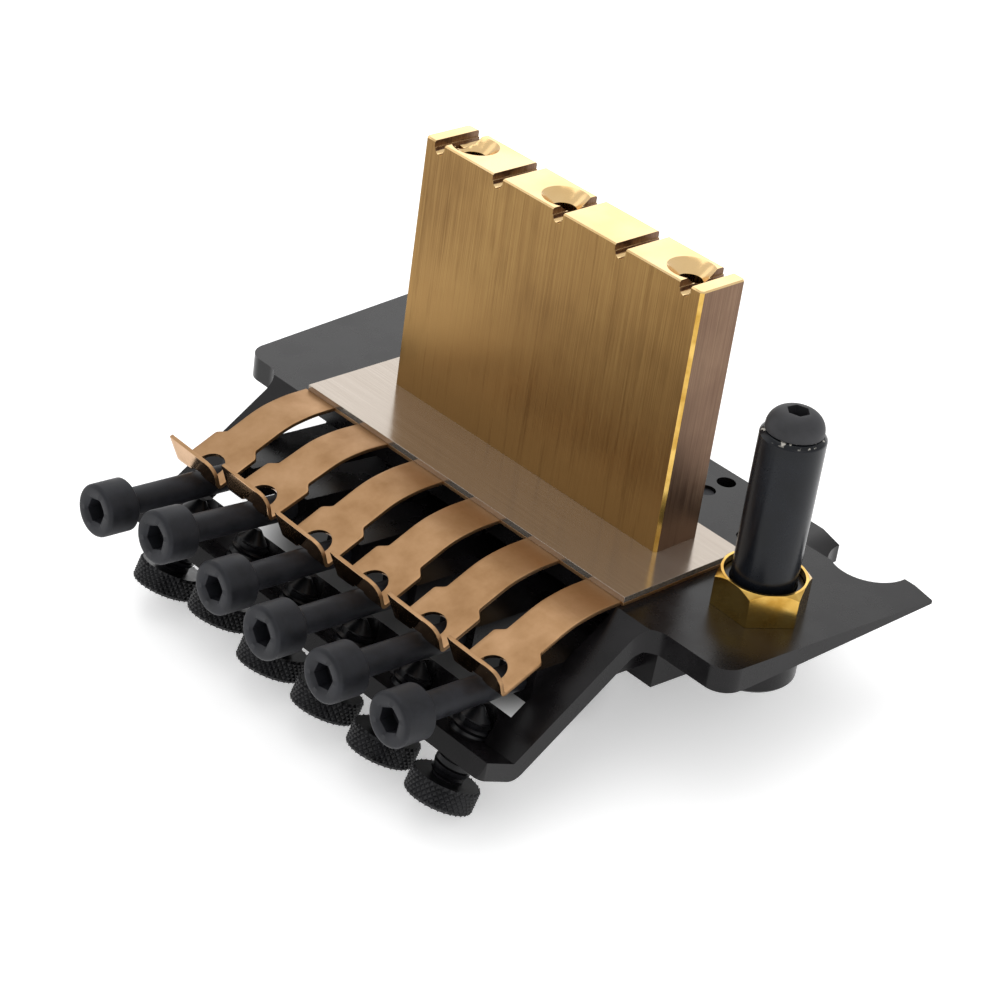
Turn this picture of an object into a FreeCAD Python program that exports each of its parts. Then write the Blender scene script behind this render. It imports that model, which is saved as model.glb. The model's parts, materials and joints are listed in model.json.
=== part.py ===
import FreeCAD, Part
import math
import os
import re
import Sketcher
from FreeCAD import Placement, Rotation, Vector

# Double-locking guitar tremolo bridge, lying as on a bench: string side down, sustain block up.
# Every piece is drawn in the bridge's own frame: x across the strings towards the arm side,
# y towards the neck, z from the plate's spring side (z = 0) up the block. At the end the whole
# bridge is laid down on its fine tuners and its tallest saddles.

doc = FreeCAD.newDocument("tremolo_bridge")
sheet = doc.addObject("Spreadsheet::Sheet", "sizes")

string_count = 6
spring_count = 5

driving = {
    # strings
    "string_pitch": 10.8,
    "fretboard_radius": 305.0,
    # base plate: wings, knife-edge notches and horns
    "plate_thickness": 3.3,
    "post_offset": 2.25,
    "horn_reach": 7.95,
    "pivot_y": 21.3,
    "notch_radius": 5.4,
    "front_edge": 21.5,
    "wing_tail": 14.1,
    "wing_shoulder": 10.2,
    "wing_flare": 2.65,
    "horn_tip": 20.7,
    "horn_corner": 3.5,
    "wing_round": 3.0,
    "arm_fillet": 3.0,
    "taper_width": 6.0,
    "taper_tail": 10.0,
    "horn_edge": 0.5,
    "bevel_width": 5.0,
    "bevel_depth": 1.4,
    "bevel_length": 4.9,
    "bevel_inset": 3.0,
    # base plate: side arms and tuner shelf
    "arm_side": 7.9,
    "arm_width": 4.9,
    "window_front": 13.0,
    "window_rear": 30.6,
    "bend_tail": 15.3,
    "arm_slope": 33.5,
    "arm_length": 22.1,
    "arm_thickness": 2.6,
    "bend_round": 2.5,
    "shelf_tilt": 23.0,
    "shelf_length": 6.6,
    "shelf_thickness": 2.4,
    "shelf_round": 1.0,
    # comb strip, shim and sustain block stacked on the plate
    "comb_thickness": 0.5,
    "comb_front": 4.6,
    "shim_thickness": 0.8,
    "shim_tail": 14.3,
    "shim_front": 6.4,
    "block_offset": 0.4,
    "block_width": 49.4,
    "block_depth": 7.6,
    "block_height": 36.0,
    "block_chamfer": 0.4,
    "spring_inset": 2.8,
    "spring_slot_width": 1.8,
    "spring_slot_depth": 0.9,
    "spring_groove_radius": 0.75,
    "spring_hole_radius": 0.7,
    "spring_hole_depth": 7.0,
    "spring_hole_step": 0.05,
    "sink_radius": 3.1,
    # countersunk screws from the string side that hold the block
    "block_screw_inset": 5.4,
    "block_screw_middle": 2.6,
    "block_screw_radius": 1.5,
    "block_screw_head": 2.9,
    "block_screw_bite": 9.0,
    "block_screw_hex": 2.0,
    "block_screw_socket": 1.0,
    # arm holder beside the block
    "holder_inset": 8.55,
    "holder_y": 0.75,
    "nut_corner": 6.2,
    "nut_height": 4.6,
    "nut_chamfer": 0.8,
    "nut_turn": -3.0,
    "bushing_radius": 5.0,
    "bushing_recess": 1.0,
    "bushing_flange": 6.2,
    "bushing_drop": 5.9,
    "sleeve_radius": 4.1,
    "sleeve_top": 24.3,
    "sleeve_chamfer": 0.5,
    "socket_radius": 3.1,
    "socket_wall": 6.3,
    "torque_radius": 2.2,
    "torque_bite": 5.2,
    "dome_radius": 3.6,
    "dome_height": 2.6,
    "dome_round": 2.3,
    "dome_hex": 2.5,
    "dome_socket": 1.7,
    "dome_turn": 20.0,
    "dome_gap": 0.15,
    # saddle bases, their screws and hinge pins
    "saddle_hole_1": 18.9,
    "saddle_hole_2": 15.05,
    "saddle_hole_3": 11.2,
    "saddle_screw_radius": 1.25,
    "saddle_screw_head": 2.7,
    "saddle_screw_height": 1.8,
    "saddle_screw_hex": 2.0,
    "saddle_screw_recess": 0.4,
    "intonation_travel": 2.0,
    "foot_width": 9.8,
    "foot_thickness": 1.55,
    "foot_lip": 1.6,
    "slot_clearance": 0.4,
    "lug_width": 4.4,
    "lug_radius": 2.4,
    "pin_y": 6.0,
    "pin_depth": 2.7,
    "pin_radius": 1.0,
    "pin_length": 9.8,
    # saddles with their levers, clamp inserts and lock screws
    "saddle_width": 10.2,
    "saddle_front": 5.6,
    "saddle_back": 14.0,
    "saddle_height": 9.05,
    "saddle_round": 1.5,
    "saddle_top_gap": 0.5,
    "nose_start": 2.0,
    "nose_drop": 1.7,
    "cheek_radius": 1.9,
    "groove_radius": 0.8,
    "cavity_width": 6.2,
    "cavity_front": 3.4,
    "cavity_back": 10.6,
    "cavity_roof": 1.2,
    "lever_tilt": 3.65,
    "lever_half_width": 3.0,
    "lever_end": 33.4,
    "lever_up": 2.4,
    "lever_down": 2.4,
    "clamp_length": 4.2,
    "clamp_height": 4.8,
    "clamp_groove": 0.5,
    "lock_drop": 3.4,
    "lock_length": 45.9,
    "lock_radius": 1.8,
    "lock_tip": 0.6,
    "lock_head_radius": 3.45,
    "lock_head_length": 4.6,
    "lock_head_round": 0.6,
    "lock_hex": 3.0,
    "lock_socket": 2.4,
    "lock_sink": 0.3,
    # how far each lock screw stands open, and how its socket is turned
    "clamp_gap_1": 2.6,
    "clamp_gap_2": 1.6,
    "clamp_gap_3": 0.7,
    "clamp_gap_4": 1.9,
    "clamp_gap_5": 1.3,
    "clamp_gap_6": 0.4,
    "lock_turn_1": 12.0,
    "lock_turn_2": 25.0,
    "lock_turn_3": 18.0,
    "lock_turn_4": 10.0,
    "lock_turn_5": 13.0,
    "lock_turn_6": 27.0,
    # fine tuners, and how far each is screwed in
    "tuner_inset": 1.7,
    "tuner_reach": 6.9,
    "tuner_radius": 2.45,
    "tuner_tip_radius": 0.6,
    "tuner_tip_length": 1.6,
    "tuner_tip_gap": 0.65,
    "knob_radius": 4.5,
    "knob_height": 3.0,
    "knob_chamfer": 0.35,
    "spigot_radius": 1.5,
    "spigot_length": 2.0,
    "tuner_set_1": 0.0,
    "tuner_set_2": 1.2,
    "tuner_set_3": 0.0,
    "tuner_set_4": 0.0,
    "tuner_set_5": 0.0,
    "tuner_set_6": 0.0,
    # comb fingers that press on the lock screws
    "finger_gap": 0.2,
    "finger_flat": 3.7,
    "finger_knee": 7.7,
    "finger_knee_drop": 0.55,
    "finger_flat_round": 20.0,
    "finger_knee_round": 14.0,
    "finger_reach": 19.7,
    "finger_slope": 23.5,
    "finger_width": 5.9,
    "finger_head_width": 8.2,
    "finger_head_start": 12.7,
    "finger_shoulder": 1.0,
    "finger_hole_radius": 2.1,
    "finger_hole_inset": 1.75,
    "finger_clearance": 0.4,
    "lip_height": 3.5,
    "lip_round": 1.8,
    "lip_lean": 6.0,
    "ear_reach": 0.9,
    "ear_rise": 0.4,
    # clearances
    "running_gap": 0.05,
    "cavity_gap": 0.1,
    "lug_gap": 0.35,
}

word = re.compile(r"[a-z]+(?:_[a-z0-9]+)+")
axis_x = Vector(1, 0, 0)
axis_y = Vector(0, 1, 0)
axis_z = Vector(0, 0, 1)


class Sizes:
    # The value of a named cell, in millimetres or degrees.
    def __getattr__(self, name):
        return float(sheet.get(name))


mm = Sizes()


def fill_sheet():
    for row, (name, size) in enumerate(driving.items(), 1):
        sheet.set(f"A{row}", name)
        sheet.set(f"B{row}", str(size))
        sheet.setAlias(f"B{row}", name)
    doc.recompute()


def worth(formula):
    # Numbers pass through. Text is terms joined by " + " or " - ", each of factors joined by " * ".
    if not isinstance(formula, str):
        return formula
    total = 0.0
    sign = 1.0
    for term in re.split(r" ([+-]) ", formula):
        if term in "+-":
            sign = 1.0 if term == "+" else -1.0
            continue
        product = sign
        for factor in term.split(" * "):
            product *= getattr(mm, factor) if word.fullmatch(factor) else float(factor)
        total += product
    return total


def minus(formula):
    # The same formula with every sign turned
    turned_signs = {" + ": " - ", " - ": " + "}
    return "-1 * " + re.sub(r" [+-] ", lambda sign: turned_signs[sign.group()], formula)


def bind(item, **formulas):
    for prop, formula in formulas.items():
        item.setExpression(prop, word.sub(r"sizes.\g<0>", formula))
    return item


def box(name, length, width, height, at, turn=Rotation()):
    item = doc.addObject("Part::Box", name)
    item.Placement = Placement(Vector(*at), turn)
    return bind(item, Length=length, Width=width, Height=height)


def rod(name, radius, length, at, along=axis_z):
    item = doc.addObject("Part::Cylinder", name)
    item.Placement = Placement(Vector(*at), Rotation(axis_z, along))
    return bind(item, Radius=radius, Height=length)


def cone(name, low_radius, high_radius, length, at):
    item = doc.addObject("Part::Cone", name)
    item.Placement = Placement(Vector(*at), Rotation())
    return bind(item, Radius1=low_radius, Radius2=high_radius, Height=length)


def hexagon(name, corner, length, at, turn=0.0):
    item = doc.addObject("Part::Prism", name)
    item.Polygon = 6
    item.Placement = Placement(Vector(*at), Rotation(axis_z, turn))
    return bind(item, Circumradius=corner, Height=length)


def fuse(name, *pieces):
    item = doc.addObject("Part::MultiFuse", name)
    item.Shapes = list(pieces)
    item.Refine = True
    return item


def common(name, *pieces):
    item = doc.addObject("Part::MultiCommon", name)
    item.Shapes = list(pieces)
    return item


def group(name, pieces):
    item = doc.addObject("Part::Compound", name)
    item.Links = list(pieces)
    return item


def cut(name, base, *tools):
    item = doc.addObject("Part::Cut", name)
    item.Base = base
    item.Tool = tools[0] if len(tools) == 1 else fuse(name + "_tools", *tools)
    return item


def outline(body, plane, points):
    # A closed outline of straight lines, each corner held by its two coordinates.
    sketch = body.newObject("Sketcher::SketchObject", body.Name + "_outline")
    origin = next(feature for feature in body.Origin.OriginFeatures if feature.Role == plane)
    sketch.AttachmentSupport = (origin, [""])
    sketch.MapMode = "FlatFace"
    count = len(points)
    corners = [Vector(worth(u), worth(v), 0) for u, v in points]
    for k in range(count):
        sketch.addGeometry(Part.LineSegment(corners[k], corners[(k + 1) % count]))
    for k in range(count):
        sketch.addConstraint(Sketcher.Constraint("Coincident", k, 2, (k + 1) % count, 1))
    kinds = ("DistanceX", "DistanceY")
    for k, point in enumerate(points):
        for kind, crossing_axis, formula in zip(kinds, (-2, -1), point):
            size = worth(formula)
            if size == 0:
                sketch.addConstraint(Sketcher.Constraint("PointOnObject", k, 1, crossing_axis))
                continue
            index = sketch.addConstraint(Sketcher.Constraint(kind, k, 1, size))
            if isinstance(formula, str):
                bind(sketch, **{f"Constraints[{index}]": formula})
    return sketch


def soften(body, kind, size_name, formula, test):
    # Rounds or chamfers the edges of the body's last feature that pass the test.
    base = body.Tip
    doc.recompute()
    names = [f"Edge{k}" for k, edge in enumerate(base.Shape.Edges, 1) if test(edge)]
    feature = body.newObject("PartDesign::" + kind, f"{body.Name}_{kind.lower()}")
    feature.Base = (base, names)
    bind(feature, **{size_name: formula})


def extrude(name, plane, points, length, rounds=None):
    # A slab of the outline, half its length to each side of the plane.
    body = doc.addObject("PartDesign::Body", name)
    pad = body.newObject("PartDesign::Pad", name + "_pad")
    pad.Profile = outline(body, plane, points)
    pad.SideType = "Symmetric"
    bind(pad, Length=length)
    first, second = {"XY_Plane": (0, 1), "XZ_Plane": (0, 2), "YZ_Plane": (1, 2)}[plane]
    for corner, radius in (rounds or {}).items():
        spot = [worth(value) for value in points[corner]]

        def at_corner(edge):
            ends = [vertex.Point for vertex in edge.Vertexes]
            return len(ends) == 2 and all(
                math.hypot(end[first] - spot[0], end[second] - spot[1]) < 1e-4 for end in ends)

        soften(body, "Fillet", "Radius", radius, at_corner)
    return body


def turned(name, points, rounds=None):
    # A turned piece about its own z axis, from an outline of (radius, height) corners.
    body = doc.addObject("PartDesign::Body", name)
    spin = body.newObject("PartDesign::Revolution", name + "_spin")
    sketch = outline(body, "XZ_Plane", points)
    spin.Profile = sketch
    spin.ReferenceAxis = (sketch, ["V_Axis"])
    spin.Angle = 360
    for corner, radius in (rounds or {}).items():
        ring, height = (worth(value) for value in points[corner])

        def on_ring(edge):
            if not isinstance(edge.Curve, Part.Circle):
                return False
            return abs(edge.Curve.Radius - ring) < 1e-4 and abs(edge.Curve.Center.z - height) < 1e-4

        soften(body, "Fillet", "Radius", radius, on_ring)
    return body


def direction(angle):
    return Vector(0, math.cos(math.radians(angle)), math.sin(math.radians(angle)))


def crossing(start, along, other, toward):
    # Where two lines in the y, z plane meet.
    gap = other - start
    span = along.y * toward.z - along.z * toward.y
    return start + along * ((gap.y * toward.z - gap.z * toward.y) / span)


fill_sheet()

# Heights and places that several pieces share
plate_low = -mm.plate_thickness
stack_top = mm.comb_thickness + mm.shim_thickness
pin_z = plate_low - mm.pin_depth
foot_low = plate_low - mm.running_gap - mm.foot_thickness
string_x = [(i - (string_count - 1) / 2) * mm.string_pitch for i in range(string_count)]
strings = range(1, string_count + 1)

# The plate's widths follow the strings, and the block's screws and springs follow the block
arm_outer = f"{max(string_x) / mm.string_pitch} * string_pitch + arm_side"
wing_half_tail = arm_outer + " + wing_shoulder"
wing_half_tip = wing_half_tail + " + wing_flare"
half_post = wing_half_tail + " - horn_reach"
holder_x = "post_offset + " + wing_half_tail + " - holder_inset"
shim_width = f"{string_count - 1} * string_pitch + finger_width"
spring_pitch = f"{1 / (spring_count - 1)} * block_width - {2 / (spring_count - 1)} * spring_inset"
block_screw_spots = (
    "block_screw_inset - 0.5 * block_width",
    "-1 * block_screw_middle",
    "0.5 * block_width - block_screw_inset",
)
holder = Vector(worth(holder_x), mm.holder_y, 0)

# Side view of the arms and the tuner shelf: the arms fall to the tail, the shelf rises again
bend_low = Vector(0, -mm.bend_tail, plate_low)
arm_way = direction(180 + mm.arm_slope)
arm_up = direction(90 + mm.arm_slope)
shelf_way = direction(180 - mm.shelf_tilt)
shelf_up = direction(90 - mm.shelf_tilt)
shelf_low = bend_low + arm_way * mm.arm_length
shelf_tail = shelf_low + shelf_way * mm.shelf_length
shelf_tail_top = shelf_tail + shelf_up * mm.shelf_thickness
arm_top = bend_low + arm_up * mm.arm_thickness
shelf_inner = crossing(arm_top, arm_way, shelf_tail_top, shelf_way)
bend_top = crossing(arm_top, arm_way, Vector(0, 0, 0), axis_y)

# Fine tuner axis, square to the shelf, from the knob's outer face
tuner_foot = shelf_low + shelf_way * mm.tuner_inset - shelf_up * mm.tuner_reach

# Lever line: the lock screw's axis, seen in the saddle's frame, and where the tuner meets it
lever_way = direction(180 - mm.lever_tilt)
lever_up_way = direction(90 - mm.lever_tilt)
saddle_pin_spot = Vector(0, mm.pin_y, pin_z)
lock_line = saddle_pin_spot - lever_up_way * mm.lock_drop
lock_under = lock_line - lever_up_way * mm.lock_radius
tuner_touch = crossing(tuner_foot, shelf_up, lock_under, lever_way)
tuner_length = (tuner_touch - tuner_foot).Length - mm.tuner_tip_gap

# A turn of a tuner lifts its lock screw, and the comb finger that presses on it
contact_arm = (tuner_touch - lock_under).dot(lever_way)
lever_ratio = math.cos(math.radians(mm.shelf_tilt - mm.lever_tilt)) / contact_arm
finger_fold_y = -mm.shim_tail - mm.finger_reach
finger_ratio = lever_ratio * (mm.pin_y - finger_fold_y) / mm.finger_reach
finger_hinge_z = 0.5 * mm.comb_thickness


def string_place(i):
    return Placement(Vector(string_x[i - 1], 0, 0), Rotation())


def saddle_place(i):
    tilt = mm.lever_tilt + math.degrees(lever_ratio * worth(f"tuner_set_{i}"))
    return Placement(Vector(string_x[i - 1], mm.pin_y, pin_z), Rotation(axis_x, -tilt))


def tuner_place(i):
    spot = tuner_foot + shelf_up * worth(f"tuner_set_{i}")
    return Placement(Vector(string_x[i - 1], spot.y, spot.z), Rotation(axis_x, -mm.shelf_tilt))


def finger_place(i):
    lift = math.degrees(finger_ratio * worth(f"tuner_set_{i}"))
    return Placement(Vector(string_x[i - 1], -mm.shim_tail, finger_hinge_z), Rotation(axis_x, -lift))


def clamp_back(i):
    return -mm.cavity_front - worth(f"clamp_gap_{i}") - mm.clamp_length


def lock_place(i):
    spot = Vector(0, clamp_back(i) - mm.running_gap, -mm.lock_drop)
    turn = Rotation(axis_x, 90) * Rotation(axis_z, worth(f"lock_turn_{i}"))
    return saddle_place(i) * Placement(spot, turn)


def saddle_drop(i):
    # How far the saddle's top stands from its pin: less for the outer strings
    return mm.saddle_height - string_x[i - 1] ** 2 / (2 * mm.fretboard_radius)


def socket(name, across, depth, at, turn=0.0):
    return hexagon(name, f"{across} * 0.57735", depth, at, turn)


def plate_tapers():
    # The horns thin out under their outer edges towards their tips
    tools = []
    span = mm.horn_tip + mm.wing_tail
    flare = mm.wing_flare / span
    edge_half = worth(wing_half_tail) + flare * (mm.wing_tail - mm.taper_tail)
    tail = Vector(edge_half, -mm.taper_tail, plate_low)
    tip = Vector(worth(wing_half_tip), mm.horn_tip, -mm.horn_edge)
    inner = tip + Vector(-mm.taper_width, 0, mm.horn_edge + plate_low)
    normal = (tip - tail).cross(inner - tail).normalize()
    if normal.z > 0:
        normal = normal * -1
    half = worth(half_post)
    for side in (1, -1):
        lean = Rotation(axis_z, Vector(side * normal.x, normal.y, normal.z))
        centre = Vector(mm.post_offset + side * tip.x, tip.y, tip.z)
        corner = centre + lean.multVec(Vector(-half, -half, 0))
        size = f"2 * ({half_post})"
        tools.append(box("horn_taper", size, size, "bushing_drop", corner, lean))
    return tools


def plate_bevels():
    # A facet falls from the plate's face to each knife edge, on the side towards the strings
    tools = []
    fall = math.degrees(math.atan2(mm.bevel_depth, mm.bevel_width))
    for side in (1, -1):
        start = mm.post_offset + side * (worth(half_post) - mm.notch_radius - mm.bevel_inset)
        lean = Rotation(axis_y, side * fall)
        corner = Vector(start, mm.front_edge - mm.bevel_length, 0)
        if side < 0:
            corner = corner + lean.multVec(Vector(-2 * mm.bevel_width, 0, 0))
        tools.append(box("knife_bevel", "2 * bevel_width", "2 * bevel_length", "plate_thickness",
                         corner, lean))
    return tools


def base_plate():
    side_points = [
        ("front_edge + plate_thickness", 0),
        (bend_top.y, 0),
        (shelf_inner.y, shelf_inner.z),
        (shelf_tail_top.y, shelf_tail_top.z),
        (shelf_tail.y, shelf_tail.z),
        (shelf_low.y, shelf_low.z),
        ("-1 * bend_tail", "-1 * plate_thickness"),
        ("front_edge + plate_thickness", "-1 * plate_thickness"),
    ]
    bent = extrude("plate_side", "YZ_Plane", side_points,
                   f"2 * ({wing_half_tip} + post_offset + plate_thickness)", {5: "bend_round"})
    tail_y = shelf_tail.y
    right = [
        ("post_offset + " + wing_half_tail, "-1 * wing_tail"),
        ("post_offset + " + wing_half_tip, "horn_tip"),
        ("post_offset + " + wing_half_tip + " - horn_corner", "front_edge"),
    ]
    left = [
        (minus(wing_half_tip) + " + post_offset + horn_corner", "front_edge"),
        (minus(wing_half_tip) + " + post_offset", "horn_tip"),
        (minus(wing_half_tail) + " + post_offset", "-1 * wing_tail"),
    ]
    arms = [
        (minus(arm_outer), "-1 * wing_tail"),
        (minus(arm_outer), tail_y),
        (arm_outer, tail_y),
        (arm_outer, "-1 * wing_tail"),
    ]
    plan = extrude("plate_plan", "XY_Plane", right + left + arms, "4 * arm_length",
                   {0: "wing_round", 5: "wing_round", 6: "arm_fillet", 7: "shelf_round", 8: "shelf_round",
                    9: "arm_fillet"})
    inner = worth(arm_outer) - mm.arm_width
    deep = -2 * mm.arm_length
    tools = [box("arm_window", f"2 * ({arm_outer} - arm_width)", "window_rear - window_front",
                 "4 * arm_length", (-inner, -mm.window_rear, deep))]
    for side in (1, -1):
        notch_x = mm.post_offset + side * worth(half_post)
        tools.append(rod("knife_notch", "notch_radius", "4 * plate_thickness",
                         (notch_x, mm.pivot_y, 2 * plate_low)))
    tools += plate_tapers() + plate_bevels()
    tools.append(rod("bushing_hole", "bushing_radius + running_gap", "4 * plate_thickness",
                     (holder.x, holder.y, 2 * plate_low)))
    for n, spot in enumerate(block_screw_spots, 1):
        screw_x = mm.block_offset + worth(spot)
        tools.append(rod("block_screw_hole", "block_screw_radius + running_gap", "4 * plate_thickness",
                         (screw_x, 0, 2 * plate_low)))
        tools.append(cone("block_screw_sink", "block_screw_head + running_gap",
                          "block_screw_radius + running_gap",
                          "block_screw_head - block_screw_radius", (screw_x, 0, plate_low)))
        for x in string_x:
            tools.append(rod("saddle_hole", "saddle_screw_radius + running_gap", "4 * plate_thickness",
                             (x, worth(f"saddle_hole_{n}"), 2 * plate_low)))
    for x in string_x:
        start = tuner_foot + shelf_up * mm.knob_height
        tools.append(rod("tuner_hole", "tuner_radius + running_gap", "4 * tuner_reach",
                         (x, start.y, start.z), shelf_up))
    return cut("base_plate", common("plate_blank", bent, plan), *tools)


def spring_comb():
    strip = box("comb_blank", shim_width, "shim_tail + comb_front", "comb_thickness",
                (mm.block_offset - 0.5 * worth(shim_width), -mm.shim_tail, 0))
    return cut("spring_comb", strip, *stack_holes("comb", 0))


def shim_plate():
    blank = box("shim_blank", shim_width, "shim_tail + shim_front", "shim_thickness",
                (mm.block_offset - 0.5 * worth(shim_width), -mm.shim_tail, mm.comb_thickness))
    return cut("shim_plate", blank, *stack_holes("shim", mm.comb_thickness))


def stack_holes(name, low):
    return [rod(f"{name}_hole", "block_screw_radius + running_gap", "4 * shim_thickness",
                (mm.block_offset + worth(spot), 0, low - mm.shim_thickness)) for spot in block_screw_spots]


def sustain_block():
    half_width = "0.5 * block_width"
    half_depth = "0.5 * block_depth"
    corners = []
    for sx, sy in ((1, 1), (-1, 1), (-1, -1), (1, -1)):
        edge = f"{sx} * {half_width}"
        face = f"{sy} * {half_depth}"
        along = (f"{edge} - {sx} * block_chamfer", face)
        across = (edge, f"{face} - {sy} * block_chamfer")
        corners += [across, along] if sx * sy > 0 else [along, across]
    blank = extrude("block_blank", "XY_Plane", corners, "block_height")
    top = 0.5 * mm.block_height
    soften(blank, "Chamfer", "Size", "0.5 * block_chamfer",
           lambda edge: all(abs(vertex.Z - top) < 1e-4 for vertex in edge.Vertexes))
    tools = []
    for k in range(spring_count):
        x = (k - (spring_count - 1) / 2) * worth(spring_pitch)
        tools.append(box("spring_slot", "spring_slot_width", "2 * block_depth", "block_height",
                         (x - 0.5 * mm.spring_slot_width, -mm.block_depth, top - mm.spring_slot_depth)))
        tools.append(rod("spring_groove", "spring_groove_radius", "2 * block_depth",
                         (x, mm.block_depth, top - mm.spring_slot_depth), axis_y * -1))
        tools.append(rod("spring_hole", "spring_hole_radius", "2 * spring_hole_depth",
                         (x, 0, top - mm.spring_hole_depth + k * mm.spring_hole_step)))
    for spot in block_screw_spots:
        x = worth(spot)
        tools.append(rod("block_bore", "block_screw_radius + running_gap", "2 * block_height",
                         (x, 0, -mm.block_height)))
        tools.append(cone("block_sink", "block_screw_radius", "2 * sink_radius - block_screw_radius",
                          "2 * sink_radius - 2 * block_screw_radius",
                          (x, 0, top - mm.sink_radius + mm.block_screw_radius)))
    return cut("sustain_block", blank, *tools)


def block_screws():
    screws = []
    neck = "block_screw_head - block_screw_radius"
    for spot in block_screw_spots:
        end = "plate_thickness + comb_thickness + shim_thickness + block_screw_bite"
        body = turned("block_screw_blank", [
            (0, 0), ("block_screw_head", 0), ("block_screw_radius", neck),
            ("block_screw_radius", end), (0, end)])
        drive = socket("block_screw_drive", "block_screw_hex", "2 * block_screw_socket",
                       (0, 0, -mm.block_screw_socket))
        screw = cut("block_screw", body, drive)
        place = Vector(mm.block_offset + worth(spot), 0, plate_low)
        screw.Placement = Placement(place, Rotation())
        screws.append(screw)
    return group("block_screws", screws)


def saddle_screws():
    screws = []
    low = foot_low - mm.running_gap - mm.saddle_screw_height
    end = -mm.saddle_screw_recess - low
    for x in string_x:
        body = turned("saddle_screw_blank", [
            (0, 0), ("saddle_screw_head", 0), ("saddle_screw_head", "saddle_screw_height"),
            ("saddle_screw_radius", "saddle_screw_height"), ("saddle_screw_radius", end), (0, end)],
            {1: "0.4 * saddle_screw_height"})
        drive = socket("saddle_screw_drive", "saddle_screw_hex", "1.2 * saddle_screw_height",
                       (0, 0, -0.6 * mm.saddle_screw_height))
        screw = cut("saddle_screw", body, drive)
        screw.Placement = Placement(Vector(x, mm.saddle_hole_2, low), Rotation())
        screws.append(screw)
    return group("saddle_screws", screws)


def arm_bushing():
    bore = "sleeve_radius + running_gap"
    top = "nut_height - bushing_recess"
    low = "-1 * plate_thickness - bushing_drop"
    body = turned("arm_bushing", [
        (bore, low), ("bushing_flange - sleeve_chamfer", low), ("bushing_flange", f"{low} + sleeve_chamfer"),
        ("bushing_flange", "-1 * plate_thickness"), ("bushing_radius", "-1 * plate_thickness"),
        ("bushing_radius", top), (bore, top)])
    return body


def arm_nut():
    blank = hexagon("nut_blank", "nut_corner", "nut_height", (0, 0, 0), mm.nut_turn)
    shape = turned("nut_turning", [
        ("bushing_radius + running_gap", 0), ("nut_corner + running_gap", 0),
        ("nut_corner + running_gap", "nut_height - nut_chamfer"),
        ("0.875 * nut_corner", "nut_height"), ("bushing_radius + running_gap", "nut_height")])
    return common("arm_nut", blank, shape)


def arm_sleeve():
    low = "-1 * plate_thickness - bushing_drop"
    step = "sleeve_top - socket_wall"
    hole = "torque_radius + running_gap"
    return turned("arm_sleeve", [
        ("socket_radius", low), ("sleeve_radius", low), ("sleeve_radius", "sleeve_top - sleeve_chamfer"),
        ("sleeve_radius - sleeve_chamfer", "sleeve_top"), (hole, "sleeve_top"), (hole, step),
        ("socket_radius", step)])


def arm_torque_screw():
    top = "torque_bite + dome_height"
    body = turned("torque_blank", [
        (0, 0), ("torque_radius", 0), ("torque_radius", "torque_bite"), ("dome_radius", "torque_bite"),
        ("dome_radius", top), (0, top)], {4: "dome_round"})
    drive = socket("torque_drive", "dome_hex", "2 * dome_socket",
                   (0, 0, mm.torque_bite + mm.dome_height - mm.dome_socket), mm.dome_turn)
    return cut("arm_torque_screw", body, drive)


def saddle_base(i):
    name = f"saddle_base_{i}"
    slot_half = mm.saddle_screw_radius + mm.slot_clearance
    slot_start = mm.saddle_hole_2 - mm.intonation_travel
    foot = box(name + "_foot", "foot_width",
               "saddle_hole_2 + intonation_travel + saddle_screw_radius + slot_clearance + foot_lip"
               " - pin_y - cheek_radius - lug_gap", "foot_thickness",
               (-0.5 * mm.foot_width, mm.pin_y + mm.cheek_radius + mm.lug_gap, foot_low))
    web = box(name + "_web", "lug_width", "2 * lug_radius + foot_lip", "pin_depth - running_gap",
              (-0.5 * mm.lug_width, mm.pin_y - mm.lug_radius, pin_z))
    lug = rod(name + "_lug", "lug_radius", "lug_width", (-0.5 * mm.lug_width, mm.pin_y, pin_z), axis_x)
    slot = box(name + "_slot", "2 * saddle_screw_radius + 2 * slot_clearance", "2 * intonation_travel",
               "4 * foot_thickness", (-slot_half, slot_start, foot_low - mm.foot_thickness))
    ends = [rod(name + "_slot_end", "saddle_screw_radius + slot_clearance", "4 * foot_thickness",
                (0, mm.saddle_hole_2 + side * mm.intonation_travel, foot_low - mm.foot_thickness))
            for side in (1, -1)]
    bore = rod(name + "_bore", "pin_radius + running_gap", "foot_width",
               (-0.5 * mm.foot_width, mm.pin_y, pin_z),
               axis_x)
    return cut(name, fuse(name + "_blank", foot, web, lug), fuse(name + "_slot_cut", slot, *ends), bore)


def saddle_pin(i):
    return rod(f"saddle_pin_{i}", "pin_radius", "pin_length", (-0.5 * mm.pin_length, mm.pin_y, pin_z), axis_x)


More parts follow.
